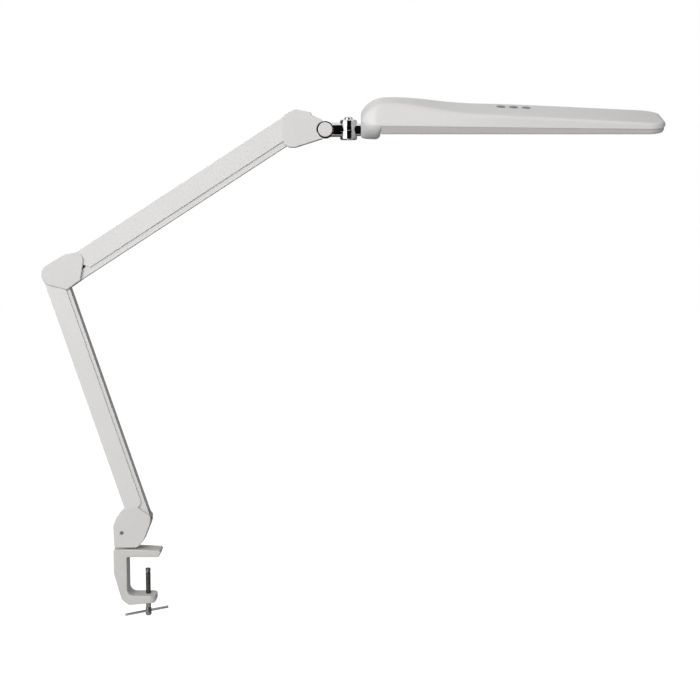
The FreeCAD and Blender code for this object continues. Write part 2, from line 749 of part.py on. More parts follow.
def base_parts():
    """The swivelling base: core on the swivel pin, two shells and their screws."""
    web = (
        LOWER, LOWER_BAR, ("base_pivot_x * 2.6", "base_floor + base_height * 0.35"),
        ("-3 * base_pivot_x", "base_floor + shell_wall + loose_fit"),
        ("shell_wall + 2 * loose_fit - base_left * 0.98", "base_floor + shell_wall + loose_fit"),
        ("shell_wall + 2 * loose_fit - base_left * 0.98", "base_screw_z + core_lug"),
        ("core_lug - base_screw_x", "base_screw_z + core_lug"),
        ("core_lug - base_screw_x", "base_screw_z"),
        ("-3 * base_pivot_x", "base_screw_z"), ("-3 * base_pivot_x", "base_pivot_z - core_lug"),
    )
    hole = "pin_radius + run_fit"
    small_hole = "small_pin_radius + run_fit"
    anchor = ("(anchor_over - base_pivot_x)", "(base_pivot_z + anchor_up)")
    owner = core("base_core", (web,), (LOWER + ("core_lug",), LOWER_BAR + ("small_lug",), anchor + ("anchor_ear",)),
                 (LOWER + (hole,), LOWER_BAR + (small_hole,)))
    foot = "(stem_radius + core_lug / 2)"
    floor = "base_floor + shell_wall + loose_fit"
    pad(owner, outline(owner, "XZ_Plane", (
        ("-swivel_x - " + foot, floor), ("-swivel_x + " + foot, floor),
        ("-swivel_x + " + foot, "base_floor + stem_height"),
        ("-swivel_x - " + foot, "base_floor + stem_height"))), "2 * " + foot, both=True)
    pocket(owner, circles(owner, "XY_Plane", (("-swivel_x", "0", "stem_radius + run_fit"),),
                          "base_floor + stem_height + run_fit"), "2 * stem_height")
    spot = ("-base_screw_x", "base_screw_z")
    screw_boss(owner, spot)
    pad(owner, circles(owner, "XZ_Plane", (anchor + ("anchor_radius",),)), "2 * anchor_half", both=True)
    node(owner, "base_core")
    left = "-base_left"
    rise = "(base_floor + base_height * 0.535)"
    window = (("base_width", rise), ("base_width", "2 * base_height"), ("-base_left", "2 * base_height"),
              ("-base_left + shell_wall + loose_fit", "base_floor + base_height * 0.66"),
              ("-base_left / 3", rise))
    rounds = ((0, "base_round"), (1, "2 * shell_bevel"), (2, "base_round"), (3, "base_round"),
              (5, "base_round / 2"), (6, "base_round / 2"), (7, "base_round"), (8, "base_round"))

    def bore(shell_body):
        return circles(shell_body, "XY_Plane", (("-swivel_x", "0", "stem_radius + loose_fit"),), "base_floor")

    for name, front in (("base_shell_front", True), ("base_shell_back", False)):
        shell(name, front, left, "base_floor", "base_width", "base_height", BASE_SHARES, rounds, (window,),
              spot, bore)
    group("base_screws", [shell_screw("BaseScrew", True, spot, "screw_length"),
                          shell_screw("BaseScrewBack", False, spot, "screw_length")])


def elbow_parts():
    """The elbow: core between the two arms, two shells and the screw behind."""
    hole = "pin_radius + run_fit"
    small_hole = "small_pin_radius + run_fit"
    anchor = ("(%s + anchor_over)" % UPPER[0], "(%s + anchor_up)" % UPPER[1])
    spot = ("(%s + elbow_screw_x)" % ELBOW[0], "(%s + elbow_screw_z)" % ELBOW[1])
    strut = (("%s - screw_boss" % spot[0], spot[1]), ("%s - screw_boss" % spot[0], ELBOW[1]),
             ("%s + screw_boss" % spot[0], ELBOW[1]), ("%s + screw_boss" % spot[0], spot[1]))
    owner = core("elbow_core", ((ELBOW, ELBOW_BAR, UPPER_BAR, UPPER), strut),
                 (ELBOW + ("core_lug",), ELBOW_BAR + ("small_lug",), UPPER + ("core_lug",),
                  UPPER_BAR + ("small_lug",), anchor + ("anchor_ear",)),
                 (ELBOW + (hole,), ELBOW_BAR + (small_hole,), UPPER + (hole,), UPPER_BAR + (small_hole,)))
    screw_boss(owner, spot)
    pad(owner, circles(owner, "XZ_Plane", (anchor + ("anchor_radius",),)), "2 * anchor_half", both=True)
    node(owner, "elbow_core")
    left = "(%s - elbow_back)" % ELBOW[0]
    floor = "(%s - elbow_drop)" % ELBOW[1]
    low = "(%s - overrun)" % floor
    window = (("%s - overrun" % left, low), ("%s + elbow_width + overrun" % left, low),
              ("%s + elbow_width + overrun" % left, "%s + 1.1 * elbow_height" % floor),
              ("%s + 0.50 * elbow_width" % left, "%s + 1.1 * elbow_height" % floor),
              ("%s + 0.50 * elbow_width" % left, "%s + 0.76 * elbow_height" % floor),
              ("%s + 0.60 * elbow_width" % left, "%s + 0.60 * elbow_height" % floor),
              ("%s - overrun" % left, "%s + 0.57 * elbow_height" % floor))
    rounds = ((0, "elbow_end_round"), (1, "elbow_end_round / 3"), (2, "elbow_end_round / 5"),
              (3, "elbow_end_round * 0.8"), (4, "elbow_end_round"), (5, "elbow_end_round"))
    for name, front in (("elbow_shell_front", True), ("elbow_shell_back", False)):
        shell(name, front, left, floor, "elbow_width", "elbow_height", ELBOW_SHARES, rounds, (window,),
              None if front else spot)
    node(shell_screw("ElbowScrew", False, spot, "2 * screw_length"), "elbow_screw")


def bracket_parts():
    """The bracket at the head's end: core with the tilting eye, two shells and the screw behind."""
    hole = "pin_radius + run_fit"
    small_hole = "small_pin_radius + run_fit"
    spot = ("(%s + bracket_screw_x)" % WRIST[0], "(%s + bracket_screw_z)" % WRIST[1])
    owner = core("bracket_core", ((WRIST, WRIST_BAR, TILT), (WRIST, TILT, spot)),
                 (WRIST + ("core_lug",), WRIST_BAR + ("small_lug",), TILT + ("eye_radius",)),
                 (WRIST + (hole,), WRIST_BAR + (small_hole,), TILT + ("tilt_bolt_radius + run_fit",)))
    screw_boss(owner, spot)
    node(owner, "bracket_core")
    left = "(%s - bracket_back)" % WRIST[0]
    floor = "(%s - bracket_drop)" % WRIST[1]
    low = "(%s - overrun)" % floor
    window = (("%s - overrun" % left, low), ("%s + 0.40 * bracket_width" % left, low),
              ("%s + 0.60 * bracket_width" % left, "%s + 0.50 * bracket_height" % floor),
              ("%s + 0.60 * bracket_width" % left, "%s + 0.72 * bracket_height" % floor),
              ("%s + 0.33 * bracket_width" % left, "%s + 0.80 * bracket_height" % floor),
              ("%s + 0.33 * bracket_width" % left, "%s + 1.1 * bracket_height" % floor),
              ("%s - overrun" % left, "%s + 1.1 * bracket_height" % floor))
    side = (("%s + 0.85 * bracket_width" % left, low),
            ("%s + 2 * bracket_width" % left, low),
            ("%s + 2 * bracket_width" % left, "%s + 2 * bracket_height" % floor),
            ("%s + 0.85 * bracket_width" % left, "%s + 2 * bracket_height" % floor))
    rounds = ((0, "base_round"), (1, "base_round / 2"), (4, "shell_bevel"), (6, "base_round / 2"),
              (7, "base_round / 2"))
    for name, front in (("bracket_shell_front", True), ("bracket_shell_back", False)):
        part = shell(name, front, left, floor, "bracket_width", "bracket_height", BRACKET_SHARES, rounds,
                     (window, side), None if front else spot)
        pocket(part, circles(part, "XZ_Plane", (TILT + ("eye_room",),)), "2 * shell_half", back=front)
    node(shell_screw("BracketScrew", False, spot, "2 * screw_length"), "bracket_screw")


def arm_springs(name, anchor, place, turn, rise, lug_over, lug_up):
    """Two balance springs side by side, each with a straight wire to its hook on the core."""
    springs = []
    for side in (-1, 1):
        wire_y = "%d * spring_spread" % side
        coil = primitive("Cylinder", name.title() + "Coil", Radius="spring_radius",
                         Height="spring_end - spring_start")
        wire = primitive("Cylinder", name.title() + "Wire", Radius="spring_hook_radius",
                         Height="spring_anchor_u - anchor_radius - spring_hook_radius - spring_start / 3")
        for part, start in ((coil, "spring_start"), (wire, "spring_start / 3")):
            put(part, "%s + (%s) * cos(%s) - spring_anchor_v * sin(%s)" % (place[0], start, rise, rise),
                wire_y, "%s + (%s) * sin(%s) + spring_anchor_v * cos(%s)" % (place[1], start, rise, rise),
                turn="90 - (%s)" % rise)
        springs.append(fuse(name.title() + "Spring", [coil, wire]))
    return group(name, springs)


def anchor_pin(name, place, rise):
    """The pin across an outer channel that holds the far ends of its springs."""
    pin = rod_y(name.title().replace("_", ""), "anchor_radius", "cover_depth / 2 - run_fit",
                "%s + spring_anchor_u * cos(%s) - spring_anchor_v * sin(%s)" % (place[0], rise, rise),
                "%s + spring_anchor_u * sin(%s) + spring_anchor_v * cos(%s)" % (place[1], rise, rise))
    return node(pin, name)


def arms():
    """Both arms, each with its outer channel, inner bar, springs and spring pin."""
    for name, half, cut_at, place, bar, rise in (
            ("lower", "lower_half", "lower_cut", LOWER, LOWER_BAR, "90 + lower_lean"),
            ("upper", "upper_half", "upper_cut", UPPER, UPPER_BAR, "upper_rise")):
        turn = "-(%s)" % rise
        cover_channel(name + "_arm_cover", half, cut_at, place, turn)
        inner_bar(name + "_arm_bar", bar, turn)
        anchor_pin(name + "_spring_pin", place, rise)
        arm_springs(name + "_arm_springs", "spring_anchor_v", place, turn, rise, "anchor_over", "anchor_up")


def tilt_parts():
    """The forked knuckle that tilts on the bracket's eye, with its bolt, washers and caps."""
    cheeks = rod_y("Cheeks", "cheek_radius", "cheek_outer", *TILT)
    gap = rod_y("CheekGap", "cheek_radius + overrun", "core_half + washer_thick + run_fit", *TILT)
    link = primitive("Cylinder", "LinkRod", Radius="link_radius", Height="drum_x - cheek_radius + overrun")
    put(link, "%s + cheek_radius - overrun" % TILT[0], 0, TILT[1], turn=90)
    link_end = primitive("Cylinder", "LinkEnd", Radius="link_radius", Height="drum_x - drum_radius / 2")
    put(link_end, "%s + drum_radius / 2" % TILT[0], 0, TILT[1], turn=90)
    eye_room = rod_y("EyeRoom", "eye_radius + overrun", "core_half + washer_thick + run_fit", *TILT)
    drum = rod_z("LowerDrum", "drum_radius", "%s - drum_below" % TILT[1], SEAM_Z, DRUM_X)
    drum_edge = doc.addObject("Part::Chamfer", "LowerDrumEdge")
    doc.recompute()
    drum_edge.Base = drum
    drum_edge.Edges = [(i + 1, size("drum_bevel"), size("drum_bevel"))
                       for i, edge in enumerate(drum.Shape.Edges)
                       if edge.BoundBox.ZMax < drum.Shape.BoundBox.ZMin + 0.01 and edge.Closed
                       and edge.Curve.TypeId == "Part::GeomCircle"]
    upper_room = rod_z("UpperRoom", "drum_radius + loose_fit", SEAM_Z, "%s + 2 * drum_above" % TILT[1],
                       DRUM_X)
    whole = fuse("KnuckleWhole", [cut("ForkCheeks", cheeks, gap),
                                  cut("LinkOpen", fuse("LinkBoth", [link, link_end]), eye_room), drum_edge])
    room = fuse("KnuckleRoom", [
        upper_room,
        rod_y("BoltHole", "tilt_bolt_radius + run_fit", "2 * cheek_outer", *TILT),
        rod_z("ScrewHole", "drum_screw_radius + run_fit", "%s - 2 * drum_below" % TILT[1],
              "%s + drum_above" % TILT[1], DRUM_X),
        rod_z("NutRoom", "drum_nut_radius + run_fit", "%s - 2 * drum_below" % TILT[1],
              "%s - drum_below + drum_nut + run_fit" % TILT[1], DRUM_X)])
    node(cut("Knuckle", whole, room), "tilt_knuckle")
    node(rod_y("TiltBolt", "tilt_bolt_radius", "cheek_outer - run_fit", *TILT), "tilt_bolt")
    washers = []
    caps = []
    for side in (-1, 1):
        ring = primitive("Cylinder", "Washer", Radius="eye_radius - overrun",
                         Height="washer_thick - 2 * run_fit")
        hole = primitive("Cylinder", "WasherHole", Radius="tilt_bolt_radius + run_fit", Height="washer_thick")
        near = "core_half + run_fit" if side > 0 else "-(core_half + washer_thick - run_fit)"
        for part in (ring, hole):
            put(part, TILT[0], near, TILT[1], axis=(1, 0, 0), turn=-90)
        washers.append(cut("TiltWasher", ring, hole))
        cap = turned("TiltCap", (
            ("0", "cheek_outer + run_fit"), ("cap_radius", "cheek_outer + run_fit"),
            ("cap_radius", "cheek_outer + cap_height"), ("0", "cheek_outer + cap_height")))
        ease(cap, "Chamfer", "cap_bevel", face_edge_test("z", size("cheek_outer") + size("cap_height")))
        put(cap, TILT[0], 0, TILT[1], axis=(1, 0, 0), turn="-90" if side > 0 else "90")
        caps.append(cap)
    group("tilt_washers", washers)
    group("tilt_caps", caps)


def swivel_link_parts():
    """The upper drum with its neck and shaft into the head, and the screw through both drums."""
    low = "(%s + drum_washer)" % SEAM_Z
    top = "(%s + drum_above)" % TILT[1]
    drum = rod_z("UpperDrum", "drum_radius", low, top, DRUM_X)
    edge = doc.addObject("Part::Chamfer", "UpperDrumEdge")
    doc.recompute()
    edge.Base = drum
    edge.Edges = [(i + 1, size("drum_bevel"), size("drum_bevel"))
                  for i, line in enumerate(drum.Shape.Edges)
                  if line.BoundBox.ZMin > drum.Shape.BoundBox.ZMax - 0.01 and line.Closed
                  and line.Curve.TypeId == "Part::GeomCircle"]
    neck = primitive("Cylinder", "Neck", Radius="neck_radius", Height="drum_radius + neck_length - run_fit")
    put(neck, DRUM_X, 0, TILT[1], turn=90)
    shaft = primitive("Cylinder", "Shaft", Radius="shaft_radius",
                      Height="drum_radius + neck_length + shaft_length")
    put(shaft, DRUM_X, 0, TILT[1], turn=90)
    lower_room = rod_z("LowerRoom", "drum_radius + loose_fit", "%s - 2 * drum_below" % TILT[1], low, DRUM_X)
    hole = rod_z("UpperScrewHole", "drum_screw_radius + run_fit", "%s - drum_below" % TILT[1],
                 "%s + 2 * drum_above" % TILT[1], DRUM_X)
    whole = fuse("SwivelWhole", [edge, neck, shaft])
    node(cut("SwivelLink", whole, fuse("SwivelRoom", [lower_room, hole])), "swivel_link")
    ring = rod_z("DrumRing", "drum_washer_radius", "%s + run_fit" % SEAM_Z, "%s - run_fit" % low, DRUM_X)
    ring_hole = rod_z("DrumRingHole", "drum_screw_radius + run_fit", SEAM_Z, low, DRUM_X)
    node(cut("DrumWasher", ring, ring_hole), "drum_washer")
    shank_low = "(%s - drum_below)" % TILT[1]
    screw = turned("DrumScrew", (
        ("0", shank_low), ("drum_screw_radius", shank_low), ("drum_screw_radius", top + " + run_fit"),
        ("drum_screw_head", top + " + run_fit"), ("drum_screw_head", top + " + drum_screw_rise * 0.45"),
        ("drum_screw_head * 0.80", top + " + drum_screw_rise * 0.82"),
        ("drum_screw_head * 0.42", top + " + drum_screw_rise"), ("0", top + " + drum_screw_rise")))
    put(screw, DRUM_X)
    node(screw, "drum_screw")
    nut = doc.addObject("Part::Prism", "NutPrism")
    bind(nut, Circumradius="drum_nut_radius", Height="drum_nut")
    put(nut, DRUM_X, 0, shank_low)
    nut_hole = rod_z("NutHole", "drum_screw_radius + run_fit", "%s - overrun" % shank_low,
                     "%s + 2 * drum_nut" % shank_low, DRUM_X)
    node(cut("DrumNut", nut, nut_hole), "drum_nut")
    roll = doc.addObject("Part::Prism", "RollPrism")
    bind(roll, Circumradius="roll_nut_radius", Height="roll_nut")
    roll_hole = primitive("Cylinder", "RollHole", Radius="shaft_radius + run_fit", Height="2 * roll_nut")
    put(roll, "%s + roll_nut_at" % HEAD_X, 0, TILT[1], turn=90)
    put(roll_hole, "%s + roll_nut_at - overrun" % HEAD_X, 0, TILT[1], turn=90)
    node(cut("RollNut", roll, roll_hole), "roll_nut")


def in_head(thing):
    """Put a piece that is drawn along +X from the roll axis into the rolled lamp head."""
    return put(thing, HEAD_X, 0, TILT[1], axis=(1, 0, 0), turn="head_roll")


def in_head_from(box):
    """Put a box that has its own corner in the head's frame into the rolled lamp head."""
    held = doc.addObject("Part::Compound", box.Name + "InHead")
    held.Links = [box]
    return in_head(held)


def seam(along):
    """Height of the seam between the housing and the rim at a share of the head's length."""
    return "(rim_floor + rim_height_start - (rim_height_start - rim_height_end) * %s)" % along


def head_sides(name, inset, drop):
    """The head's long sides: they lean in a lot over the crown and stand steeper towards the tip.

    A chin at the back reaches down past the rim and holds the socket of the joint's shaft."""
    owner = body(name)
    sections = []
    for along, lean in HEAD_LEAN_SHARES:
        low = "(head_width / 2 - %s + %s * (%s))" % (inset, lean, drop)
        high = "(head_width / 2 - %s - %s * %s)" % (inset, lean, WIDTHS["crown"])
        floor = "%s - (%s)" % (seam(along), drop)
        roof = "%s + %s" % (seam(along), WIDTHS["crown"])
        sections.append(outline(owner, "YZ_Plane", (
            ("-" + low, floor), (low, floor), (high, roof), ("-" + high, roof)),
            "%s + (head_length - 2 * %s) * %s" % (inset, inset, along)))
    loft = owner.newObject("PartDesign::AdditiveLoft", "Sides")
    loft.Profile = sections[0]
    loft.Sections = sections[1:]
    loft.Ruled = True
    doc.recompute()
    half = [("(chin_foot / 2 - %s / 2)" % inset, "%s - socket_drop" % inset),
            ("(chin_shoulder / 2 - %s)" % inset, "chin_shoulder_rise + %s / 2" % inset),
            ("(head_width / 2 - seam_gap - %s)" % inset, seam("0")),
            ("(head_width / 2 - overrun - %s)" % inset, seam("0") + " + overrun")]
    pad(owner, outline(owner, "YZ_Plane", half + [("-" + across, rise) for across, rise in half[::-1]], inset),
        "socket_length - 2 * " + inset)
    return owner


def head_plan(name, inset):
    """The head seen from above: a long rectangle with rounded ends."""
    owner = body(name)
    pad(owner, plan(owner, inset, "head_length - %s" % inset, "head_width / 2 - %s" % inset, "-2 * socket_drop",
                    "head_tip_round - %s" % inset, "head_back_round - %s" % inset), "head_width + socket_drop")
    return owner


def head_profile(name, inset):
    """The head seen from the side: a round back, a crown, a long slope to the tip and the chin below."""
    owner = body(name)
    chin_front = "socket_length - " + inset
    chin_floor = "%s - socket_drop" % inset
    sketch = outline(owner, "XZ_Plane", [("%s + (head_length - 2 * %s) * %s" % (inset, inset, along),
                                          "head_width * %s - %s" % (rise, inset))
                                         for along, rise in PROFILE_SHARES]
                     + [("head_length - " + inset, "0"), (chin_front, "0"), (chin_front, chin_floor),
                        (inset, chin_floor)],
                     arcs=((0, "crown_back_round - " + inset, True), (2, "crown_round", True),
                           (3, "slope_round", False)))
    pad(owner, sketch, "2 * head_width", both=True)
    for index, radius in ((5, "tip_crown_round"), (8, "socket_round"), (9, "socket_round / 3")):
        round_corner(owner, sketch, index, "%s - %s" % (radius, inset))
    return owner


def plan(owner, start, end, half, lift, tip_round, back_round):
    """A rectangle with round corners, seen from above, in the head's own frame."""
    side, near_tip, near_back = ["(%s - (%s))" % (half, less) for less in ("0", tip_round, back_round)]
    turn, back = "%s - (%s)" % (end, tip_round), "%s + (%s)" % (start, back_round)
    return outline(owner, "XY_Plane", (
        (back, "-" + side), (turn, "-" + side), (end, "-" + near_tip), (end, near_tip), (turn, side),
        (back, side), (start, near_back), (start, "-" + near_back)), lift,
        arcs=[(edge, radius, False) for edge, radius in ((1, tip_round), (3, tip_round), (5, back_round),
                                                         (7, back_round))])


def common(name, base, tool):
    result = doc.addObject("Part::Common", name)
    result.Base = base
    result.Tool = tool
    return result


def head_form(name, inset, drop):
    """What the head's plan, profile and leaning sides have in common."""
    from_above = head_plan(name + "Plan", inset)
    from_the_side = head_profile(name + "Profile", inset)
    from_the_end = head_sides(name + "Sides", inset, drop)
    return common(name, common(name + "Ends", from_above, from_the_side), from_the_end)


def button_place(index):
    """Where a button stands: its distance along the head, and the height of the roof there."""
    along = "(%s + %d * %s)" % (LENGTHS["button_first"], index, LENGTHS["button_pitch"])
    return along, "(%s - %d * %s)" % (WIDTHS["button_roof"], index, WIDTHS["button_fall"])


def head_housing():
    """The moulded upper shell with its socket for the joint's shaft and holes for the buttons."""
    outer = head_form("HeadOuter", "0", "0")
    inner = head_form("HeadInner", "head_wall", "seam_gap")
    socket = block("SocketBlock", "head_wall / 2", "-socket_width / 2", "-socket_drop",
                   "socket_length - head_wall", "socket_width", "socket_drop + " + seam("0"))
    rods = [rod_z("PostRod", "post_radius", WIDTHS["sink_level"] + " + sink_thick", "head_width", along, across)
            for along in ("strip_start + 2 * post_radius", LENGTHS["post"],
                          "head_length - strip_end - 2 * post_radius")
            for across in ("-" + WIDTHS["strip_side"], WIDTHS["strip_side"])]
    held = common("HousingInside", outer, fuse("SocketAndPosts", [socket] + rods))
    shell_body = fuse("HousingWhole", [cut("HousingOpen", outer, inner), held])
    bore = primitive("Cylinder", "ShaftBore", Radius="shaft_radius + run_fit", Height="2 * socket_length")
    put(bore, "-overrun", 0, 0, turn=90)
    nut_room = primitive("Cylinder", "NutRoom", Radius="roll_nut_radius + loose_fit",
                         Height="socket_length - roll_nut_at - head_wall + loose_fit")
    put(nut_room, "roll_nut_at - loose_fit", 0, 0, turn=90)
    holes = [rod_z("ButtonHole", "button_radius + loose_fit / 2", button_place(i)[1] + " - 2 * head_wall",
                   button_place(i)[1] + " + 2 * head_wall", button_place(i)[0], WIDTHS["button_side"])
             for i in range(3)]
    node(in_head(cut("HeadHousing", shell_body, fuse("HousingRoom", [bore, nut_room] + holes))),
         "head_housing")


def head_rim():
    """The rim below the housing: a frame with sloping sides and a ledge for the diffuser."""
    owner = body("HeadRim")
    half = "(head_width / 2 - rim_draft)"
    start = "(socket_length + seam_gap + rim_draft)"
    end = "(head_length - rim_draft)"
    frame = pad(owner, plan(owner, "socket_length - rim_draft", end, half, "rim_floor",
                            "head_tip_round - rim_draft", "rim_draft"), "rim_height_start - seam_gap")
    bind(frame, TaperAngle="atan(rim_draft / rim_height_start)")
    doc.recompute()
    top = seam("0") + " - seam_gap"
    pocket(owner, outline(owner, "XZ_Plane", (
        ("0", top), ("0", "head_width"), ("head_length + overrun", "head_width"),
        ("head_length + overrun", seam("1") + " - seam_gap"))), "2 * head_width", both=True)
    pocket(owner, outline(owner, "XZ_Plane", (
        ("0", "0"), ("socket_length + seam_gap", "0"), ("socket_length + seam_gap", "head_width"),
        ("0", "head_width"))), "2 * head_width", both=True)
    pocket(owner, plan(owner, start + " + rim_wall", end + " - rim_wall", half + " - rim_wall",
                       "rim_floor + diffuser_lift", "head_tip_round - rim_draft - rim_wall", "rim_wall"),
           "head_width", back=True)
    pocket(owner, plan(owner, start + " + 2 * rim_wall", end + " - 2 * rim_wall", half + " - 2 * rim_wall",
                       "rim_floor", "head_tip_round - rim_draft - 2 * rim_wall", "rim_wall"),
           "head_width", both=True)
    node(in_head(owner), "head_rim")
    diffuser = body("Diffuser")
    gap = "rim_wall + loose_fit / 2"
    pad(diffuser, plan(diffuser, "%s + %s" % (start, gap), "%s - (%s)" % (end, gap), "%s - (%s)" % (half, gap),
                       "rim_floor + diffuser_lift", "head_tip_round - rim_draft - (%s)" % gap, "rim_wall"),
        "diffuser_thick")
    node(in_head(diffuser), "diffuser")


def head_inside():
    """Heat sink with its two light strips, the driver and the switch board for the buttons."""
    level, half, side_on = WIDTHS["sink_level"], WIDTHS["sink_half"], WIDTHS["button_side"]
    sink = block("SinkPlate", "strip_start", "-" + half, level,
                 "head_length - strip_end - strip_start", "2 * " + half, "sink_thick")
    board_x = "%s - %s / 2" % (button_place(1)[0], LENGTHS["switch_board"])
    board_z = "(%s - %s)" % (WIDTHS["button_roof"], WIDTHS["button_depth"])
    legs = [rod_z("BoardLeg", "post_radius / 2", level + " + sink_thick / 2", board_z, along, side_on)
            for along in ("%s + post_radius" % board_x,
                          "%s + %s - post_radius" % (board_x, LENGTHS["switch_board"]))]
    node(in_head(fuse("HeatSink", [sink] + legs)), "heat_sink")
    for name, side in (("led_strip_front", -1), ("led_strip_back", 1)):
        strip = block("Strip", "strip_start + post_radius",
                      "%d * %s - %s / 2" % (side, WIDTHS["strip_side"], WIDTHS["strip_width"]),
                      level + " - board_thick", "head_length - strip_end - strip_start - 2 * post_radius",
                      WIDTHS["strip_width"], "board_thick")
        node(in_head_from(strip), name)
    driver = block("DriverBox", "driver_start", "-driver_width / 2", level + " + sink_thick",
                   "driver_length", "driver_width", WIDTHS["driver_height"])
    node(in_head_from(driver), "led_driver")
    plate = block("SwitchPlate", board_x, side_on + " - button_board_width / 2", board_z,
                  LENGTHS["switch_board"], "button_board_width", "board_thick")
    switches = [block("Switch", "%s - switch_half" % button_place(i)[0], side_on + " - switch_half",
                      "%s + board_thick / 2" % board_z, "2 * switch_half", "2 * switch_half",
                      "board_thick / 2 + switch_height") for i in range(3)]
    node(in_head(fuse("SwitchBoard", [plate] + switches)), "switch_board")


def buttons():
    """Three round push buttons, each with a collar under the roof and a stem on its switch."""
    for index, name in enumerate(("power_button", "brighter_button", "dimmer_button")):
        along, roof = button_place(index)
        under = "(%s - 1.6 * head_wall)" % roof
        switch_top = "(%s - %s + board_thick + switch_height)" % (WIDTHS["button_roof"], WIDTHS["button_depth"])
        button = turned(name.title().replace("_", ""), (
            ("0", "%s + button_travel + run_fit" % switch_top),
            ("button_stem", "%s + button_travel + run_fit" % switch_top),
            ("button_stem", "%s - button_flange" % under),
            ("button_radius + button_flange", "%s - button_flange" % under),
            ("button_radius + button_flange", under), ("button_radius", under),
            ("button_radius", "%s + button_proud" % roof), ("0", "%s + button_proud" % roof)))
        put(button, "%s + %s" % (HEAD_X, along), WIDTHS["button_side"] + " * cos(head_roll)",
            "%s + %s * sin(head_roll)" % (TILT[1], WIDTHS["button_side"]), axis=(1, 0, 0), turn="head_roll")
        node(button, name)


clamp_frame()
spindle_parts()
swivel_parts()
base_parts()
elbow_parts()
bracket_parts()
arms()
pivot_pins()
tilt_parts()
swivel_link_parts()
head_housing()
head_rim()
head_inside()
buttons()
doc.recompute()

faults = [thing.Name for thing in doc.Objects if "Invalid" in thing.State or "Error" in thing.State]
faults += [thing.Label for thing in nodes if thing.Shape.isNull() or not thing.Shape.isValid()]
if faults:
    raise RuntimeError("these objects failed: " + ", ".join(faults))
os.makedirs("parts", exist_ok=True)
for thing in nodes:
    thing.Shape.exportStep("parts/%s.step" % thing.Label)
    print(thing.Label, len(thing.Shape.Solids), round(thing.Shape.Volume))
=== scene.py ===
"""Dresses the clamp lamp's CAD frame: finishes, balance springs, spindle thread, head shell, rim and signs.

Lengths are in metres, except where a comment or a name says millimetres. Every piece is drawn at its own
place, so that its object sits at the origin, as the CAD nodes do.
"""
import json
import math

import bpy
from mathutils import Matrix, Vector


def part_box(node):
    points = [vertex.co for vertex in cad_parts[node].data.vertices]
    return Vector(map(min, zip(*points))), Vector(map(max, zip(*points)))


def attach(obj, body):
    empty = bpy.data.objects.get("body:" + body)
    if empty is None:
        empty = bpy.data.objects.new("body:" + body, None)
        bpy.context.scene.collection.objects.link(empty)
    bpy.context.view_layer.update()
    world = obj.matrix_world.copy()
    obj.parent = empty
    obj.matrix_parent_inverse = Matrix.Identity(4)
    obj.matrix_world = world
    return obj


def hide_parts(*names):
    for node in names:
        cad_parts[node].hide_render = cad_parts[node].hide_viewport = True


bl_info = {
    "name": "Clamp Lamp",
    "version": (1, 0, 0),
    "blender": (4, 5, 0),
    "location": "3D View > Sidebar > Clamp Lamp",
    "description": "Finishes, springs, spindle thread and head shell of a two-arm clamp lamp",
    "category": "Object",
}

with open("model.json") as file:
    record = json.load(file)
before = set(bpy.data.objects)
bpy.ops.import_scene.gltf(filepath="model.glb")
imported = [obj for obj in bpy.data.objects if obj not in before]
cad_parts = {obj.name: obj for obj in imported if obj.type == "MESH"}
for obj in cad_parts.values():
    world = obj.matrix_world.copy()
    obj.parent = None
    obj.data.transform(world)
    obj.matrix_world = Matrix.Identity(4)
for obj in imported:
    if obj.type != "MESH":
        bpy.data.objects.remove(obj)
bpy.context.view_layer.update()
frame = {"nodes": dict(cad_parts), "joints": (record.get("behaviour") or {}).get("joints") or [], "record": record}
MM = 0.001

# Places of the frame's joints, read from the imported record
JOINT_AT = {joint["name"]: Vector(joint["pos_m"]) for joint in frame["joints"] if "pos_m" in joint}
QUARTER = math.radians(90)
# How steep an edge is that gets a bevel, and how nearly flat one is that merges into its face
SHARP, FLAT = math.radians(40), math.radians(0.6)
HEAD_ROLL = math.radians(17)
# The head's own frame: +X along the head, +Z out of its roof
HEAD_PLACE = Matrix.Translation(JOINT_AT["head_roll"]) @ Matrix.Rotation(HEAD_ROLL, 4, "X")

# The head's sizes in millimetres, in its own frame, as the part's source has them
HEAD_LENGTH, HEAD_HALF, HEAD_WALL = 469, 44, 2.2
SEAM_AT_BACK, SEAM_FALL = 17.6, 5.3
BACK_ROUND, TIP_ROUND, TIP_TOP_ROUND = 26, 30, 8
# Stations of the roof line over the middle: place, height and slope
ROOF = ((38.9, 46.7, 0.04), (53.9, 47.0, -0.035), (129, 38.3, -0.14), (206.4, 32.7, -0.04),
        (HEAD_LENGTH, 20.0, -0.0483))
CROWN_BACK_ROUND, CROWN_BACK_EDGE = 47, 12
# How far the sides lean inwards for each millimetre of height
LEANS = ((0, 0.62), (61, 0.61), (216, 0.25), (HEAD_LENGTH, 0.18))
# Where the lip over the seam runs out, and between which places the long edges grow narrower
LIP_END, EDGE_CHANGE = 260, (60, 230)
CHIN_LENGTH, CHIN_FLOOR, CHIN_FOOT = 30, -10, 19.3
CHIN_FRONT_ROUND, CHIN_BACK_ROUND = 8.4, 2.8
# Handles of the chin's curve: how far out, and how far below the seam or above the floor
CHIN_UPPER_HANDLE, CHIN_LOWER_HANDLE = (42.8, 10.6), (33, 6.5)
BUTTON_HOLES, BUTTON_SIDE, BUTTON_HOLE_ROUND = (217.8, 237.5, 257.2), 18.04, 7.15
SHAFT_ROUND = 6.05
RIM_FLOOR, RIM_DRAFT, RIM_EDGE, SEAM_GAP = 3.6, 3, 1.7, 0.4
# Heights above the rim's floor where its wall gets corners to curve with, and how near to the wall's own
# surface a corner lies
RIM_CUTS, RIM_NEAR = (1.7, 3.2, 4.7, 6.2), 0.6

# The spindle in millimetres: its radius, and where its thread begins above the foot and ends below the top
SPINDLE_ROUND, THREAD_START, THREAD_END = 4, 19.5, 0.6
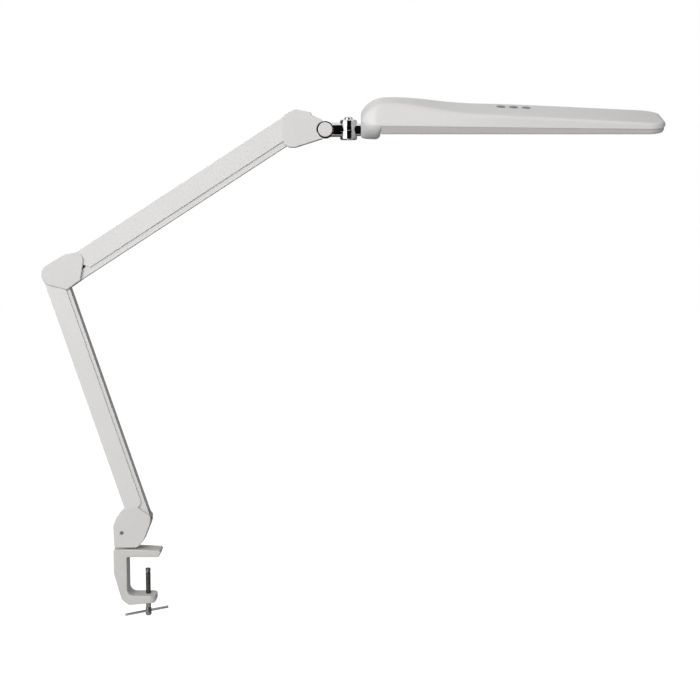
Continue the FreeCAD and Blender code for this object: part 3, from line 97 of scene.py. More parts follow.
# Corners of the thread's tooth: on its crest or not, and how far up, as a share of the pitch
TOOTH = ((False, 0), (True, 0.40), (True, 0.58), (False, 0.98))
# The bar's turn about the spindle. Its swaged ends: radius in millimetres, how much of that is left along
# the bar, across it and upwards, and how far in they sit
TOMMY_TURN = math.radians(37)
SWAGE_ROUND, SWAGE_SCALE, SWAGE_INSET = 2.4, (0.46, 0.82, 1.0), 1.5

# The springs in millimetres, along each arm from its pivot: the coil, the straight wires, and the end loops
# with their radius
SPRING_ASIDE, SPRING_ABOVE = 4.7, 3
COIL_START, COIL_LENGTH = 47, 252
SPRING_STRAIGHTS = ((17.5, 47), (299, 322.5))
SPRING_LOOPS = ((15.2, 2.4), (325, 2.6))
# Each arm's angle above the desk, from +X, in degrees
ARM_RISE = {"lower": 90 + 18.4, "upper": 32.8}

# Shell screws in millimetres: the least distance of a head from the middle plane, and the length of the
# tool that cuts its socket, half of which is outside
SCREW_HEAD_OUT, SOCKET_TOOL = 14, 1.2
# Signs: a stroke's share of the sign's width. In millimetres, how thick and how proud a bar is, and how
# thick the ring is
SIGN_STROKE, SIGN_THICK, SIGN_PROUD, RING_THICK = 0.16, 0.5, 0.2, 0.4

# The photograph's camera, six degrees down
CAMERA_AT, CAMERA_TURN, CAMERA_LENS = (0.3336, -2.2879, 0.5703), math.radians(84), 74.9
FLOOR_SIZE, FLOOR_GREY, FLOOR_LIFT = 14, 0.3, 0.9
# How near the sky's middle the even light changes from the left's strength to the right's
SKY_CHANGE = 0.25
# Soft lights: name, place, size and the setting with their power
LIGHT_AIM = Vector((0.28, 0, 0.35))
LIGHTS = (("key_light", Vector((-0.7, -2.3, 1.3)), 1.4, "key_power"),
          ("fill_light", Vector((2.0, -2.2, 0.8)), 1.2, "fill_power"))
# Cards that only metal and gloss reflect, around the head's joint: bearings of their two ends, seen from
# the joint and counted from the camera's side to the right, how bright each is, and how high. The low one
# behind the lamp draws a dark line where a surface turns away, and spares the roof.
CARDS = (("dark_left_card", -150, -86, 0.10, 2.6), ("bright_card", -84, -26, 1.5, 2.6),
         ("black_card", -25, 46, 0.004, 2.6), ("grey_card", 47, 116, 0.34, 2.6),
         ("dark_right_card", 117, 150, 0.08, 2.6), ("behind_card", 151, 209, 0.12, 1.6))
# The cards' distance from the joint, where their foot begins and their roof ends, and the gap to the floor
CARD_REACH, CARD_FOOT, CARD_ROOF, CARD_GAP = 1.7, 0.05, 0.3, 0.002


def srgb(code):
    """A colour written as sRGB hex, as Blender's linear RGBA."""
    channels = [int(code[i:i + 2], 16) / 255 for i in (1, 3, 5)]
    return [c / 12.92 if c <= 0.04045 else ((c + 0.055) / 1.055) ** 2.4 for c in channels] + [1.0]


def length(name, description, default_mm):
    """A size in millimetres that a user can change, kept in metres."""
    return bpy.props.FloatProperty(name=name, description=description, default=default_mm * MM,
                                   min=0.01 * MM, max=2, unit="LENGTH", precision=5)


def colour(name, description, code):
    return bpy.props.FloatVectorProperty(name=name, description=description, default=srgb(code)[:3], size=3,
                                         min=0, max=1, subtype="COLOR")


def amount(name, description, default, high, unit="NONE"):
    """A strength or power that a user can change."""
    return bpy.props.FloatProperty(name=name, description=description, default=default, min=0, max=high,
                                   unit=unit)


class LampSizes(bpy.types.PropertyGroup):
    wire: length("Spring wire", "Diameter of the balance springs' wire", 1.6)
    coil: length("Spring coil", "Outer diameter of the balance springs", 8.6)
    coil_pitch: length("Coil pitch", "Distance from turn to turn of a spring under load", 2.5)
    thread_pitch: length("Thread pitch", "Pitch of the clamping spindle's thread", 1.25)
    thread_depth: length("Thread depth", "Depth of the clamping spindle's thread", 0.68)
    crown_edge: length("Edge at the crown", "Radius of the head's long edges over its crown", 15)
    tip_edge: length("Edge at the tip", "Radius of the head's long edges towards its tip", 5)
    lip: length("Lip", "Height of the upright band over the head's seam, at the crown", 3)
    sign: length("Button sign", "Width of the raised sign on each push button", 4.6)
    socket_key: length("Screw socket", "Width over the points of the shell screws' sockets", 3.4)


class LampColours(bpy.types.PropertyGroup):
    paint: colour("Powder coat", "Silver-grey coat of the arms", "#DBDAD8")
    casting: colour("Clamp coat", "Silver-grey coat of the cast clamp", "#CFCDCA")
    shell: colour("Shell plastic", "Moulded shells over the joints", "#D6D4D2")
    head: colour("Head plastic", "Moulded upper shell of the head", "#D8D7D5")
    rim: colour("Rim plastic", "Moulded rim under the head", "#C9C6C2")
    button: colour("Button plastic", "Push buttons", "#6E6C6A")
    chrome: colour("Chrome", "Plated parts of the head's joint", "#DCDCDE")
    steel: colour("Steel", "Spindle and pins", "#7C7976")
    zinc: colour("Zinc plate", "Bar that turns the spindle", "#B7B5B1")
    opal: colour("Opal acrylic", "Light diffuser", "#F1F1EE")


class StudioSettings(bpy.types.PropertyGroup):
    backdrop: colour("Backdrop", "Floor and background", "#FFFFFF")
    left_sky: amount("Left sky", "Strength of the even light from the left", 0.95, 3)
    right_sky: amount("Right sky", "Strength of the even light from the right", 0.15, 3)
    key_power: amount("Key light", "Power of the large light at the front", 36, 500, "POWER")
    fill_power: amount("Fill light", "Power of the light at the right", 12.5, 500, "POWER")
    floor_level: length("Floor level", "How far the floor lies below the desk's top", 150)


def sizes():
    return bpy.context.scene.lamp_sizes


def colours():
    return bpy.context.scene.lamp_colours


# Finishes

def add_node(tree, kind, sockets=(), **settings):
    """One shader node with its settings, and its sockets set to values or linked to other sockets."""
    made = tree.nodes.new(kind)
    for name, value in settings.items():
        setattr(made, name, value)
    for name, value in dict(sockets).items():
        if isinstance(value, bpy.types.NodeSocket):
            tree.links.new(value, made.inputs[name])
        else:
            made.inputs[name].default_value = value
    return made


def emptied_tree(owner):
    """The node tree of a new material or world, with nothing in it yet."""
    owner.use_nodes = True
    owner.node_tree.nodes.clear()
    return owner.node_tree


def seen_directly(tree):
    """1 for a ray from the camera, or one that metal or glass has sent on, and 0 for the rest."""
    rays = add_node(tree, "ShaderNodeLightPath").outputs
    seen = add_node(tree, "ShaderNodeMath", {0: rays["Is Camera Ray"], 1: rays["Is Glossy Ray"]},
                    operation="MAXIMUM")
    return add_node(tree, "ShaderNodeMath", {0: seen.outputs[0], 1: rays["Is Transmission Ray"]},
                    operation="MAXIMUM").outputs[0]


def shaded(colour_value, factor):
    """A colour made lighter or darker, kept inside the range that a surface can have."""
    return [min(1.0, c * factor) for c in list(colour_value)[:3]] + [1.0]


def surface(name, base, rough, grain_mm, relief_mm, spread, stretch=(1, 1, 1), cloud_mm=60, polish=0.015,
            **shader_values):
    """A finish with a cloudy colour, a roughness that varies, and a fine grain in relief.

    grain_mm is the real size of the grain, relief_mm its height, cloud_mm the size of the patches of
    colour, spread how far their colour departs from the mean, and polish how far the roughness does.
    """
    if name in bpy.data.materials:
        return bpy.data.materials[name]
    material = bpy.data.materials.new(name)
    tree = emptied_tree(material)
    where = add_node(tree, "ShaderNodeTexCoord").outputs["Object"]
    run = add_node(tree, "ShaderNodeMapping", {"Vector": where, "Scale": stretch}).outputs["Vector"]
    cloud = add_node(tree, "ShaderNodeTexNoise", {
        "Vector": where, "Scale": 1 / (cloud_mm * MM), "Detail": 3.0, "Roughness": 0.55})
    # Noise keeps to the middle of its range, so colour and roughness are spread over that part alone
    tint = add_node(tree, "ShaderNodeValToRGB", {"Fac": cloud.outputs["Fac"]})
    tint.color_ramp.elements[0].position = 0.35
    tint.color_ramp.elements[0].color = shaded(base, 1 - spread)
    tint.color_ramp.elements[1].position = 0.65
    tint.color_ramp.elements[1].color = shaded(base, 1 + spread)
    grain = add_node(tree, "ShaderNodeTexNoise", {
        "Vector": run, "Scale": 1 / (grain_mm * MM), "Detail": 2.0, "Roughness": 0.5})
    gloss = add_node(tree, "ShaderNodeMapRange", {
        "Value": grain.outputs["Fac"], "From Min": 0.3, "From Max": 0.7,
        "To Min": max(0.0, rough - polish), "To Max": min(1.0, rough + polish)})
    relief = add_node(tree, "ShaderNodeBump", {
        "Height": grain.outputs["Fac"], "Strength": 0.6, "Distance": relief_mm * MM})
    shader = add_node(tree, "ShaderNodeBsdfPrincipled", {
        "Base Color": tint.outputs["Color"], "Roughness": gloss.outputs["Result"],
        "Normal": relief.outputs["Normal"], **shader_values})
    add_node(tree, "ShaderNodeOutputMaterial", {"Surface": shader.outputs["BSDF"]})
    return material


def powder_coat():
    # Polyester powder baked on steel sheet: satin, with an orange peel of 1 to 2 mm
    return surface("satin_powder_coat", colours().paint, 0.42, 1.6, 0.002, 0.01, IOR=1.5)


def coated_casting():
    # Powder coat over a sand-blasted zinc casting: the peel is coarser and the gloss lower
    return surface("powder_coated_casting", colours().casting, 0.5, 2.2, 0.012, 0.02, cloud_mm=25, IOR=1.5)


def shell_abs():
    # ABS moulded in a spark-eroded tool: an even satin grain of 0.7 mm
    return surface("moulded_abs_shell", colours().shell, 0.5, 0.7, 0.015, 0.01, IOR=1.54)


def head_abs():
    # The same ABS from a finer tool, so that the long head has a softer and broader sheen
    return surface("moulded_abs_head", colours().head, 0.44, 0.6, 0.01, 0.008, cloud_mm=120, IOR=1.54)


def rim_abs():
    # ABS in a warmer and darker grey, moulded as a separate frame
    return surface("moulded_abs_rim", colours().rim, 0.5, 0.6, 0.012, 0.01, cloud_mm=90, IOR=1.54)


def button_abs():
    # Small ABS buttons in mid grey, a little glossier where fingers polish them
    return surface("moulded_abs_button", colours().button, 0.4, 0.5, 0.01, 0.03, cloud_mm=6, IOR=1.54)


def chrome_plate():
    # Bright nickel and chrome on turned steel: a mirror with a trace of polishing haze
    return surface("polished_chrome_plate", colours().chrome, 0.05, 3, 0.0004, 0.02, cloud_mm=12,
                   polish=0.02, Metallic=1.0)


def turned_steel():
    # Bright turned steel: fine rings of the tool around the axis, drawn 0.4 mm apart so that they show
    return surface("turned_bright_steel", colours().steel, 0.26, 0.8, 0.006, 0.06, stretch=(0.3, 0.3, 2),
                   cloud_mm=9, polish=0.08, Metallic=1.0)


def zinc_plate():
    # Bright zinc on the drawn bar: paler than the spindle, with an uneven satin gloss
    return surface("zinc_plated_bar", colours().zinc, 0.34, 0.9, 0.005, 0.05, cloud_mm=7, polish=0.07,
                   Metallic=1.0)


def spring_wire():
    # Drawn music wire with a thin film of oil: darker than plate, and uneven from turn to turn
    return surface("drawn_spring_wire", srgb("#8B8B8D"), 0.3, 1.0, 0.004, 0.08, cloud_mm=14,
                   Metallic=1.0)


def black_oxide():
    # Steel of the small screws under a thin oxide: a dull grey, as pale as the photographed one
    return surface("black_oxide_steel", srgb("#77777A"), 0.42, 0.8, 0.006, 0.1, cloud_mm=3, Metallic=0.7)


def nylon():
    # Natural nylon of bush and washers: milky, slightly waxy
    return surface("natural_nylon", srgb("#E3E0D6"), 0.42, 1.2, 0.01, 0.02, cloud_mm=10, IOR=1.53,
                   **{"Subsurface Weight": 0.15, "Subsurface Radius": (0.002, 0.002, 0.0015)})


def raw_casting():
    # Zinc as it leaves the die: a dull grey skin with flow marks
    return surface("die_cast_zinc", srgb("#7A7978"), 0.5, 1.5, 0.03, 0.08, cloud_mm=16, Metallic=0.85)


def rolled_aluminium():
    # Mill-finish aluminium sheet: the rolling lines run along the head
    return surface("rolled_aluminium_sheet", srgb("#C4C5C7"), 0.36, 0.9, 0.004, 0.03,
                   stretch=(0.03, 1, 1), Metallic=1.0)


def white_board():
    # Light board with a white solder mask: smooth, with a clear gloss
    return surface("white_solder_mask", srgb("#F0F0EC"), 0.24, 1.5, 0.006, 0.01, cloud_mm=30, IOR=1.5)


def green_board():
    # Glass-fibre board with a green solder mask, a little uneven over the glass
    return surface("green_solder_mask", srgb("#1F5B38"), 0.28, 1.1, 0.01, 0.1, cloud_mm=5, IOR=1.5)


def driver_case():
    # Polycarbonate driver case with a light spark-eroded grain
    return surface("polycarbonate_case", srgb("#E6E5DF"), 0.5, 0.8, 0.012, 0.01, IOR=1.58)


def sign_abs():
    # The buttons' raised signs, a little paler than the buttons
    return surface("moulded_abs_sign", srgb("#8C8A88"), 0.45, 0.5, 0.006, 0.01, cloud_mm=6, IOR=1.54)


def opal_acrylic():
    """Opal acrylic sheet with a prism pattern of 3 mm, as moulded light covers have."""
    material = bpy.data.materials.new("opal_acrylic_sheet")
    tree = emptied_tree(material)
    where = add_node(tree, "ShaderNodeTexCoord").outputs["Object"]
    prisms = add_node(tree, "ShaderNodeTexVoronoi", {
        "Vector": where, "Scale": 1 / (3 * MM), "Randomness": 0.0}, feature="F1")
    relief = add_node(tree, "ShaderNodeBump", {
        "Height": prisms.outputs["Distance"], "Strength": 0.5, "Distance": 0.4 * MM}, invert=True)
    shader = add_node(tree, "ShaderNodeBsdfPrincipled", {
        "Base Color": [*colours().opal, 1.0], "Roughness": 0.28, "IOR": 1.49,
        "Subsurface Weight": 0.35, "Subsurface Radius": (0.004, 0.004, 0.004),
        "Normal": relief.outputs["Normal"]})
    add_node(tree, "ShaderNodeOutputMaterial", {"Surface": shader.outputs["BSDF"]})
    return material


# Making and placing pieces

def deselect():
    if bpy.context.object and bpy.context.object.mode != "OBJECT":
        bpy.ops.object.mode_set(mode="OBJECT")
    bpy.ops.object.select_all(action="DESELECT")


def take(thing):
    """Make one object the selected and active one."""
    deselect()
    thing.select_set(True)
    bpy.context.view_layer.objects.active = thing


def apply_place(thing, place=None):
    """Move an object by a matrix and keep the move in its mesh, so that it sits at the origin."""
    take(thing)
    if place is not None:
        thing.matrix_world = place @ thing.matrix_world
    bpy.ops.object.transform_apply(location=True, rotation=True, scale=True)
    return thing


def apply_modifier(thing, kind, **settings):
    take(thing)
    made = thing.modifiers.new(kind.title(), kind)
    for name, value in settings.items():
        setattr(made, name, value)
    bpy.ops.object.modifier_apply(modifier=made.name)


def join(things, name):
    deselect()
    for thing in things:
        thing.select_set(True)
    bpy.context.view_layer.objects.active = things[0]
    if len(things) > 1:
        bpy.ops.object.join()
    things[0].name = name
    things[0].data.name = name
    return things[0]


def edit_all(thing):
    """Open a mesh in edit mode with all of it selected."""
    take(thing)
    bpy.ops.object.mode_set(mode="EDIT")
    bpy.ops.mesh.select_all(action="SELECT")


def leave_edit():
    bpy.ops.object.mode_set(mode="OBJECT")


def select_faces(thing, test):
    """Open a mesh in edit mode with those of its faces selected whose normal passes the test."""
    for kind in (thing.data.vertices, thing.data.edges):
        for part in kind:
            part.select = False
    for face in thing.data.polygons:
        face.select = bool(test(face.normal))
    bpy.ops.object.mode_set(mode="EDIT")
    bpy.ops.mesh.select_mode(type="FACE")


def outward(thing):
    """Merge what touches and point every face outwards."""
    edit_all(thing)
    bpy.ops.mesh.remove_doubles(threshold=0.01 * MM)
    bpy.ops.mesh.normals_make_consistent(inside=False)
    leave_edit()
    return thing


def smooth(thing, degrees=35):
    take(thing)
    bpy.ops.object.shade_smooth_by_angle(angle=math.radians(degrees))
    return thing


def own_copy(node_name, name, degrees=30):
    """A merged, smooth-shaded copy of a CAD node that stands for it."""
    source = frame["nodes"][node_name]
    copy = bpy.data.objects.new(name, source.data.copy())
    bpy.context.scene.collection.objects.link(copy)
    copy.data.materials.clear()
    take(copy)
    bpy.ops.mesh.customdata_custom_splitnormals_clear()
    edit_all(copy)
    bpy.ops.mesh.remove_doubles(threshold=0.004 * MM)
    leave_edit()
    return smooth(copy, degrees)


def coat(thing, material):
    thing.data.materials.clear()
    thing.data.materials.append(material)


def dress(material, *names):
    """Give CAD nodes their finish."""
    for name in names:
        coat(frame["nodes"][name], material)


def settle(thing, material, body, slot_name, *stands_for):
    """Finish a new piece: its material, the body that it rides on and the CAD nodes that it stands for."""
    coat(thing, material)
    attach(thing, body)
    if stands_for:
        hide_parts(*stands_for)


def body_of(node_name):
    bodies = frame["record"]["behaviour"]["bodies"]
    return next(body for body, members in bodies.items() if node_name in members)


def slot_of(node_name):
    return next(row["material_slot"] for row in frame["record"]["subparts"] if row["node"] == node_name)


def finish_nodes(material, *names, edge_mm, degrees=30):
    """Copies that stand for CAD nodes, with their sharp edges broken as the real parts' are."""
    for name in names:
        copy = own_copy(name, name + "_finished", degrees)
        edit_all(copy)
        bpy.ops.mesh.dissolve_limited(angle_limit=FLAT)
        leave_edit()
        apply_modifier(copy, "BEVEL", width=edge_mm * MM, segments=2, limit_method="ANGLE",
                       angle_limit=SHARP, use_clamp_overlap=True)
        smooth(copy, degrees)
        settle(copy, material, body_of(name), slot_of(name), name)


# The head's outlines, in millimetres

def between(table, x):
    """The value at x on straight lines through the table's pairs."""
    for (low, first), (high, last) in zip(table, table[1:]):
        if x <= high:
            return first + (last - first) * (x - low) / (high - low)
    return table[-1][1]


def circle_rise(radius, away):
    return math.sqrt(max(0.0, radius ** 2 - away ** 2))


def seam_height(x):
    return SEAM_AT_BACK - SEAM_FALL * x / HEAD_LENGTH


def plan_half(x):
    """Half of the head's width at the seam, with its rounded corners."""
    if x < BACK_ROUND:
        return HEAD_HALF - BACK_ROUND + circle_rise(BACK_ROUND, BACK_ROUND - x)
    if x > HEAD_LENGTH - TIP_ROUND:
        return HEAD_HALF - TIP_ROUND + circle_rise(TIP_ROUND, x - HEAD_LENGTH + TIP_ROUND)
    return HEAD_HALF


def crown_back_height(x):
    """The round back of the crown, which turns down into the upright back wall."""
    place, height, slope = ROOF[0]
    middle_x = place + CROWN_BACK_ROUND * slope / math.hypot(1, slope)
    middle_z = height - CROWN_BACK_ROUND / math.hypot(1, slope)
    inner = CROWN_BACK_ROUND - CROWN_BACK_EDGE
    edge_z = middle_z + circle_rise(inner, middle_x - CROWN_BACK_EDGE)
    touch = middle_x - (middle_x - CROWN_BACK_EDGE) * CROWN_BACK_ROUND / inner
    if x < touch:
        return edge_z + circle_rise(CROWN_BACK_EDGE, CROWN_BACK_EDGE - x)
    return middle_z + circle_rise(CROWN_BACK_ROUND, middle_x - x)


def roof_line(x):
    """A smooth line through the roof's stations, with their slopes."""
    for (low, first, start), (high, last, end) in zip(ROOF, ROOF[1:]):
        if x <= high:
            run = high - low
            t = (x - low) / run
            return ((1 + 2 * t) * (1 - t) ** 2 * first + t * (1 - t) ** 2 * run * start
                    + t * t * (3 - 2 * t) * last + t * t * (t - 1) * run * end)
    return ROOF[-1][1]


def roof_height(x):
    if x < ROOF[0][0]:
        return crown_back_height(x)
    past = x - (HEAD_LENGTH - TIP_TOP_ROUND)
    if past > 0:
        return roof_line(HEAD_LENGTH - TIP_TOP_ROUND) - TIP_TOP_ROUND + circle_rise(TIP_TOP_ROUND, past)
    return roof_line(x)


def upper_section(x, side_steps=5, edge_steps=9, roof_steps=6):
    """Across the head at x: points from the seam up one side, over the roof and down to the other seam."""
    low, half = seam_height(x), plan_half(x)
    high = max(roof_height(x), low + 0.02)
    rise = high - low
    lip = min(sizes().lip / MM * max(0.0, 1 - x / LIP_END), rise / 3)
    top = max(half - between(LEANS, x) * rise, 0.2 * half)
    lean = math.atan2(half - top, rise - lip)
    turn = math.pi / 2 - lean
    crown, tip = sizes().crown_edge / MM, sizes().tip_edge / MM
    wanted = between(((0, crown), (EDGE_CHANGE[0], crown), (EDGE_CHANGE[1], tip), (HEAD_LENGTH, tip)), x)
    # The rounded edge takes at most three quarters of the side, and leaves some of the roof flat
    reach = min(wanted * math.tan(turn / 2), 0.75 * (rise - lip) / math.cos(lean), 0.85 * top)
    radius = reach / math.tan(turn / 2)
    foot = Vector((half, low + lip))
    shoulder = Vector((top + reach * math.sin(lean), high - reach * math.cos(lean)))
    points = [Vector((half, low))]
    points += [foot.lerp(shoulder, i / side_steps) for i in range(side_steps)]
    middle = Vector((top - reach, high - radius))
    for i in range(edge_steps + 1):
        angle = lean + turn * i / edge_steps
        points.append(middle + radius * Vector((math.cos(angle), math.sin(angle))))
    points += [Vector(((top - reach) * (1 - i / roof_steps), high)) for i in range(1, roof_steps + 1)]
    return points + [Vector((-point.x, point.y)) for point in reversed(points[:-1])]


def chin_section(x, steps=10):
    """Across the chin at x: points from one seam down, round the underside and up to the other seam."""
    low = CHIN_FLOOR
    if x > CHIN_LENGTH - CHIN_FRONT_ROUND:
        low += CHIN_FRONT_ROUND - circle_rise(CHIN_FRONT_ROUND, x - CHIN_LENGTH + CHIN_FRONT_ROUND)
    if x < CHIN_BACK_ROUND:
        low += CHIN_BACK_ROUND - circle_rise(CHIN_BACK_ROUND, CHIN_BACK_ROUND - x)
    half, high = plan_half(x), seam_height(x)
    share = half / HEAD_HALF
    tall = (high - low) / (SEAM_AT_BACK - CHIN_FLOOR)
    (upper_out, drop), (lower_out, rise) = CHIN_UPPER_HANDLE, CHIN_LOWER_HANDLE
    knots = [Vector((half, high)), Vector((upper_out * share, high - drop * tall)),
             Vector((lower_out * share, low + rise * tall)), Vector((CHIN_FOOT * share, low))]
    points = []
    for i in range(steps + 1):
        t = i / steps
        points.append((1 - t) ** 3 * knots[0] + 3 * t * (1 - t) ** 2 * knots[1]
                      + 3 * t * t * (1 - t) * knots[2] + t ** 3 * knots[3])
    points += [Vector((CHIN_FOOT * share * (1 - i / 3), low)) for i in (1, 2, 3)]
    return points + [Vector((-point.x, point.y)) for point in reversed(points[:-1])]


def head_stations():
    """Places along the head, close together where its ends and the chin curve."""
    quarter = [QUARTER * i / 12 for i in range(13)]
    places = [BACK_ROUND * (1 - math.cos(angle)) for angle in quarter]
    places += [CHIN_LENGTH - CHIN_FRONT_ROUND * (1 - math.sin(angle)) for angle in quarter[::2]]
    places += [CHIN_BACK_ROUND * (1 - math.cos(angle)) for angle in quarter[::3]]
    # Every 4 mm for 100 mm after the chin, where the crown curves, and then every 7.5 mm
    places += [CHIN_LENGTH + 4 * i for i in range(1, 26)]
    places += [CHIN_LENGTH + 100 + 7.5 * i for i in range(1, 42)]
    places += [HEAD_LENGTH - TIP_ROUND * (1 - math.sin(angle)) for angle in quarter[:9]]
    places += [HEAD_LENGTH - TIP_TOP_ROUND * (1 - math.sin(angle)) for angle in quarter]
    spaced = []
    for place in sorted(places):
        if not spaced or place - spaced[-1] > 0.12:
            spaced.append(place)
    return [CHIN_LENGTH if abs(place - CHIN_LENGTH) < 0.1 else place for place in spaced]


def net(rows, name):
    """A net of faces through rows of points, all rows of one length."""
    deselect()
    bpy.ops.mesh.primitive_grid_add(x_subdivisions=len(rows[0]) - 1, y_subdivisions=len(rows) - 1, size=1)
    made = bpy.context.object
    for vertex, point in zip(made.data.vertices, (point for row in rows for point in row), strict=True):
        vertex.co = point
    made.name = name
    return made


def section_net(stations, section, name):
    return net([[Vector((x, *point)) * MM for point in section(x)] for x in stations], name)


def close_ring(thing, test):
    """Close the open edges whose corners pass the test with one face."""
    take(thing)
    bpy.ops.object.mode_set(mode="EDIT")
    bpy.ops.mesh.select_mode(type="VERT")
    bpy.ops.mesh.select_all(action="DESELECT")
    leave_edit()
    for vertex in thing.data.vertices:
        vertex.select = bool(test(vertex.co))
    bpy.ops.object.mode_set(mode="EDIT")
    bpy.ops.mesh.edge_face_add()
    leave_edit()


def cut(thing, sides, radius, depth, place, turn):
    """Cut a round or hexagonal hole into a piece."""
    deselect()
    bpy.ops.mesh.primitive_cylinder_add(vertices=sides, radius=radius, depth=depth, location=place,
                                        rotation=turn)
    tool = apply_place(bpy.context.object)
    apply_modifier(thing, "BOOLEAN", object=tool, operation="DIFFERENCE", solver="EXACT")
    bpy.data.objects.remove(tool)


class LAMP_OT_clamp(bpy.types.Operator):
    """Cast clamp with its coat, bush and swivel pin"""
    bl_idname = "lamp.clamp"
    bl_label = "Clamp"

    def execute(self, context):
        finish_nodes(coated_casting(), "clamp_frame", edge_mm=0.8)
        dress(nylon(), "socket_bush")
        dress(turned_steel(), "swivel_pin", "spindle_tip")
        return {"FINISHED"}


class LAMP_OT_spindle(bpy.types.Operator):
    """Clamping spindle with its thread, and the bar with swaged ends that turns it"""
    bl_idname = "lamp.spindle"
    bl_label = "Spindle"

    def execute(self, context):
        low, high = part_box("spindle")
        axis = Vector(((low.x + high.x) / 2, (low.y + high.y) / 2, 0))
        thread_low, thread_high = low.z + THREAD_START * MM, high.z - THREAD_END * MM
        parts = [self.foot(thread_low), self.core(axis, thread_low, high.z),
                 self.thread(axis, thread_low, thread_high)]
        spindle = smooth(join(parts, "spindle_threaded"), 32)
        settle(spindle, turned_steel(), "screw", "bright_steel", "spindle")
        settle(self.swaged_bar(), zinc_plate(), "handle", "bright_steel", "tommy_bar")
        return {"FINISHED"}

    def foot(self, thread_low):
        """The node's own head at the spindle's foot, cut off where the thread begins."""
        foot = own_copy("spindle", "spindle_head")
        edit_all(foot)
        bpy.ops.mesh.bisect(plane_co=(0, 0, thread_low), plane_no=(0, 0, 1), clear_outer=True,
                            use_fill=True)
        leave_edit()
        return foot

    def core(self, axis, low, high):
        """The round core that the thread winds around, sunk into the head, with a broken edge on top."""
        deselect()
        span = high - low
        bpy.ops.mesh.primitive_cylinder_add(
            vertices=40, radius=SPINDLE_ROUND * MM - sizes().thread_depth, depth=span,
            location=(axis.x, axis.y, low + span / 2 - 0.1 * MM))
        core = apply_place(bpy.context.object)
        select_faces(core, lambda normal: normal.z > 0.9)
        bpy.ops.mesh.bevel(offset=0.3 * MM, segments=2)
        leave_edit()
        return core

    def thread(self, axis, low, high):
        """The outline of one tooth, screwed up along the core from just above its foot."""
        pitch, crest = sizes().thread_pitch, SPINDLE_ROUND * MM
        root = crest - sizes().thread_depth
        deselect()
        bpy.ops.mesh.primitive_plane_add(size=1)
        tooth = bpy.context.object
        for vertex, (on_crest, up) in zip((0, 1, 3, 2), TOOTH):
            tooth.data.vertices[vertex].co = (crest if on_crest else root, 0, up * pitch)
        apply_modifier(tooth, "SCREW", axis="Z", screw_offset=pitch, steps=28, render_steps=28,
                       iterations=int((high - low) / pitch) - 1, use_normal_calculate=True,
                       use_merge_vertices=False)
        return outward(apply_place(tooth, Matrix.Translation((axis.x, axis.y, low + 0.2 * MM))))

    def swaged_bar(self):
        """The bar with both ends pressed wide and flat, so that it can't slide out of the spindle."""
        bar = own_copy("tommy_bar", "tommy_bar_swaged")
        low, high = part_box("tommy_bar")
        middle = (low + high) / 2
        half = (high - low).xy.length / 2 - SWAGE_INSET * MM
        along = Vector((math.cos(TOMMY_TURN), math.sin(TOMMY_TURN), 0))
        ends = []
        for side in (-1, 1):
            deselect()
            bpy.ops.mesh.primitive_uv_sphere_add(segments=24, ring_count=12, radius=SWAGE_ROUND * MM)
            end = bpy.context.object
            end.scale = SWAGE_SCALE
            place = (Matrix.Translation(middle + side * half * along)
                     @ Matrix.Rotation(TOMMY_TURN, 4, "Z"))
            ends.append(apply_place(apply_place(end), place))
        return smooth(join([bar, *ends], "tommy_bar_swaged"))


class LAMP_OT_arms(bpy.types.Operator):
    """Powder-coated outer channels and inner bars of both arms"""
    bl_idname = "lamp.arms"
    bl_label = "Arms"

    def execute(self, context):
        finish_nodes(powder_coat(), "lower_arm_cover", "upper_arm_cover", "lower_arm_bar", "upper_arm_bar",
                     edge_mm=0.4)
        return {"FINISHED"}


class LAMP_OT_springs(bpy.types.Operator):
    """Pairs of balance springs with their straight wires and end loops"""
    bl_idname = "lamp.springs"
    bl_label = "Balance springs"

    def execute(self, context):
        for arm, rise in ARM_RISE.items():
            place = (Matrix.Translation(JOINT_AT[arm + "_arm"])
                     @ Matrix.Rotation(-math.radians(rise), 4, "Y"))
            parts = []
            for side in (-1, 1):
                aside = (Matrix.Translation((0, side * SPRING_ASIDE * MM, SPRING_ABOVE * MM))
                         @ Matrix.Rotation(QUARTER, 4, "Y"))
                parts += self.spring(place @ aside)
            pair = smooth(outward(join(parts, arm + "_balance_springs")), 60)
            settle(pair, spring_wire(), arm + "_arm", "spring_wire", arm + "_arm_springs")
        return {"FINISHED"}

    def spring(self, line):
        """The parts of one spring, along the Z axis of the given place."""
        wire, pitch = sizes().wire / 2, sizes().coil_pitch
        deselect()
        bpy.ops.mesh.primitive_circle_add(vertices=8, radius=wire, fill_type="NGON",
                                          location=(sizes().coil / 2 - wire, 0, 0),
                                          rotation=(QUARTER, 0, 0))
        coil = apply_place(bpy.context.object)
        apply_modifier(coil, "SCREW", axis="Z", screw_offset=pitch, steps=14, render_steps=14,
                       iterations=int(COIL_LENGTH * MM / pitch), use_normal_calculate=True)
        parts = [apply_place(coil, line @ Matrix.Translation((0, 0, COIL_START * MM)))]
        # The straight wires and loops are a little thinner, so that their joins lie inside the coil's wire
        thin = wire * 0.95
        for low, high in SPRING_STRAIGHTS:
            deselect()
            bpy.ops.mesh.primitive_cylinder_add(vertices=12, radius=thin, depth=(high - low) * MM,
                                                location=(0, 0, (low + high) / 2 * MM))
            parts.append(apply_place(apply_place(bpy.context.object), line))
        for along, ring in SPRING_LOOPS:
            deselect()
            bpy.ops.mesh.primitive_torus_add(major_radius=ring * MM, minor_radius=thin,
                                             major_segments=28, minor_segments=10,
                                             rotation=(QUARTER, 0, 0))
            loop = apply_place(bpy.context.object)
            parts.append(apply_place(loop, line @ Matrix.Translation((0, 0, along * MM))))
        return parts


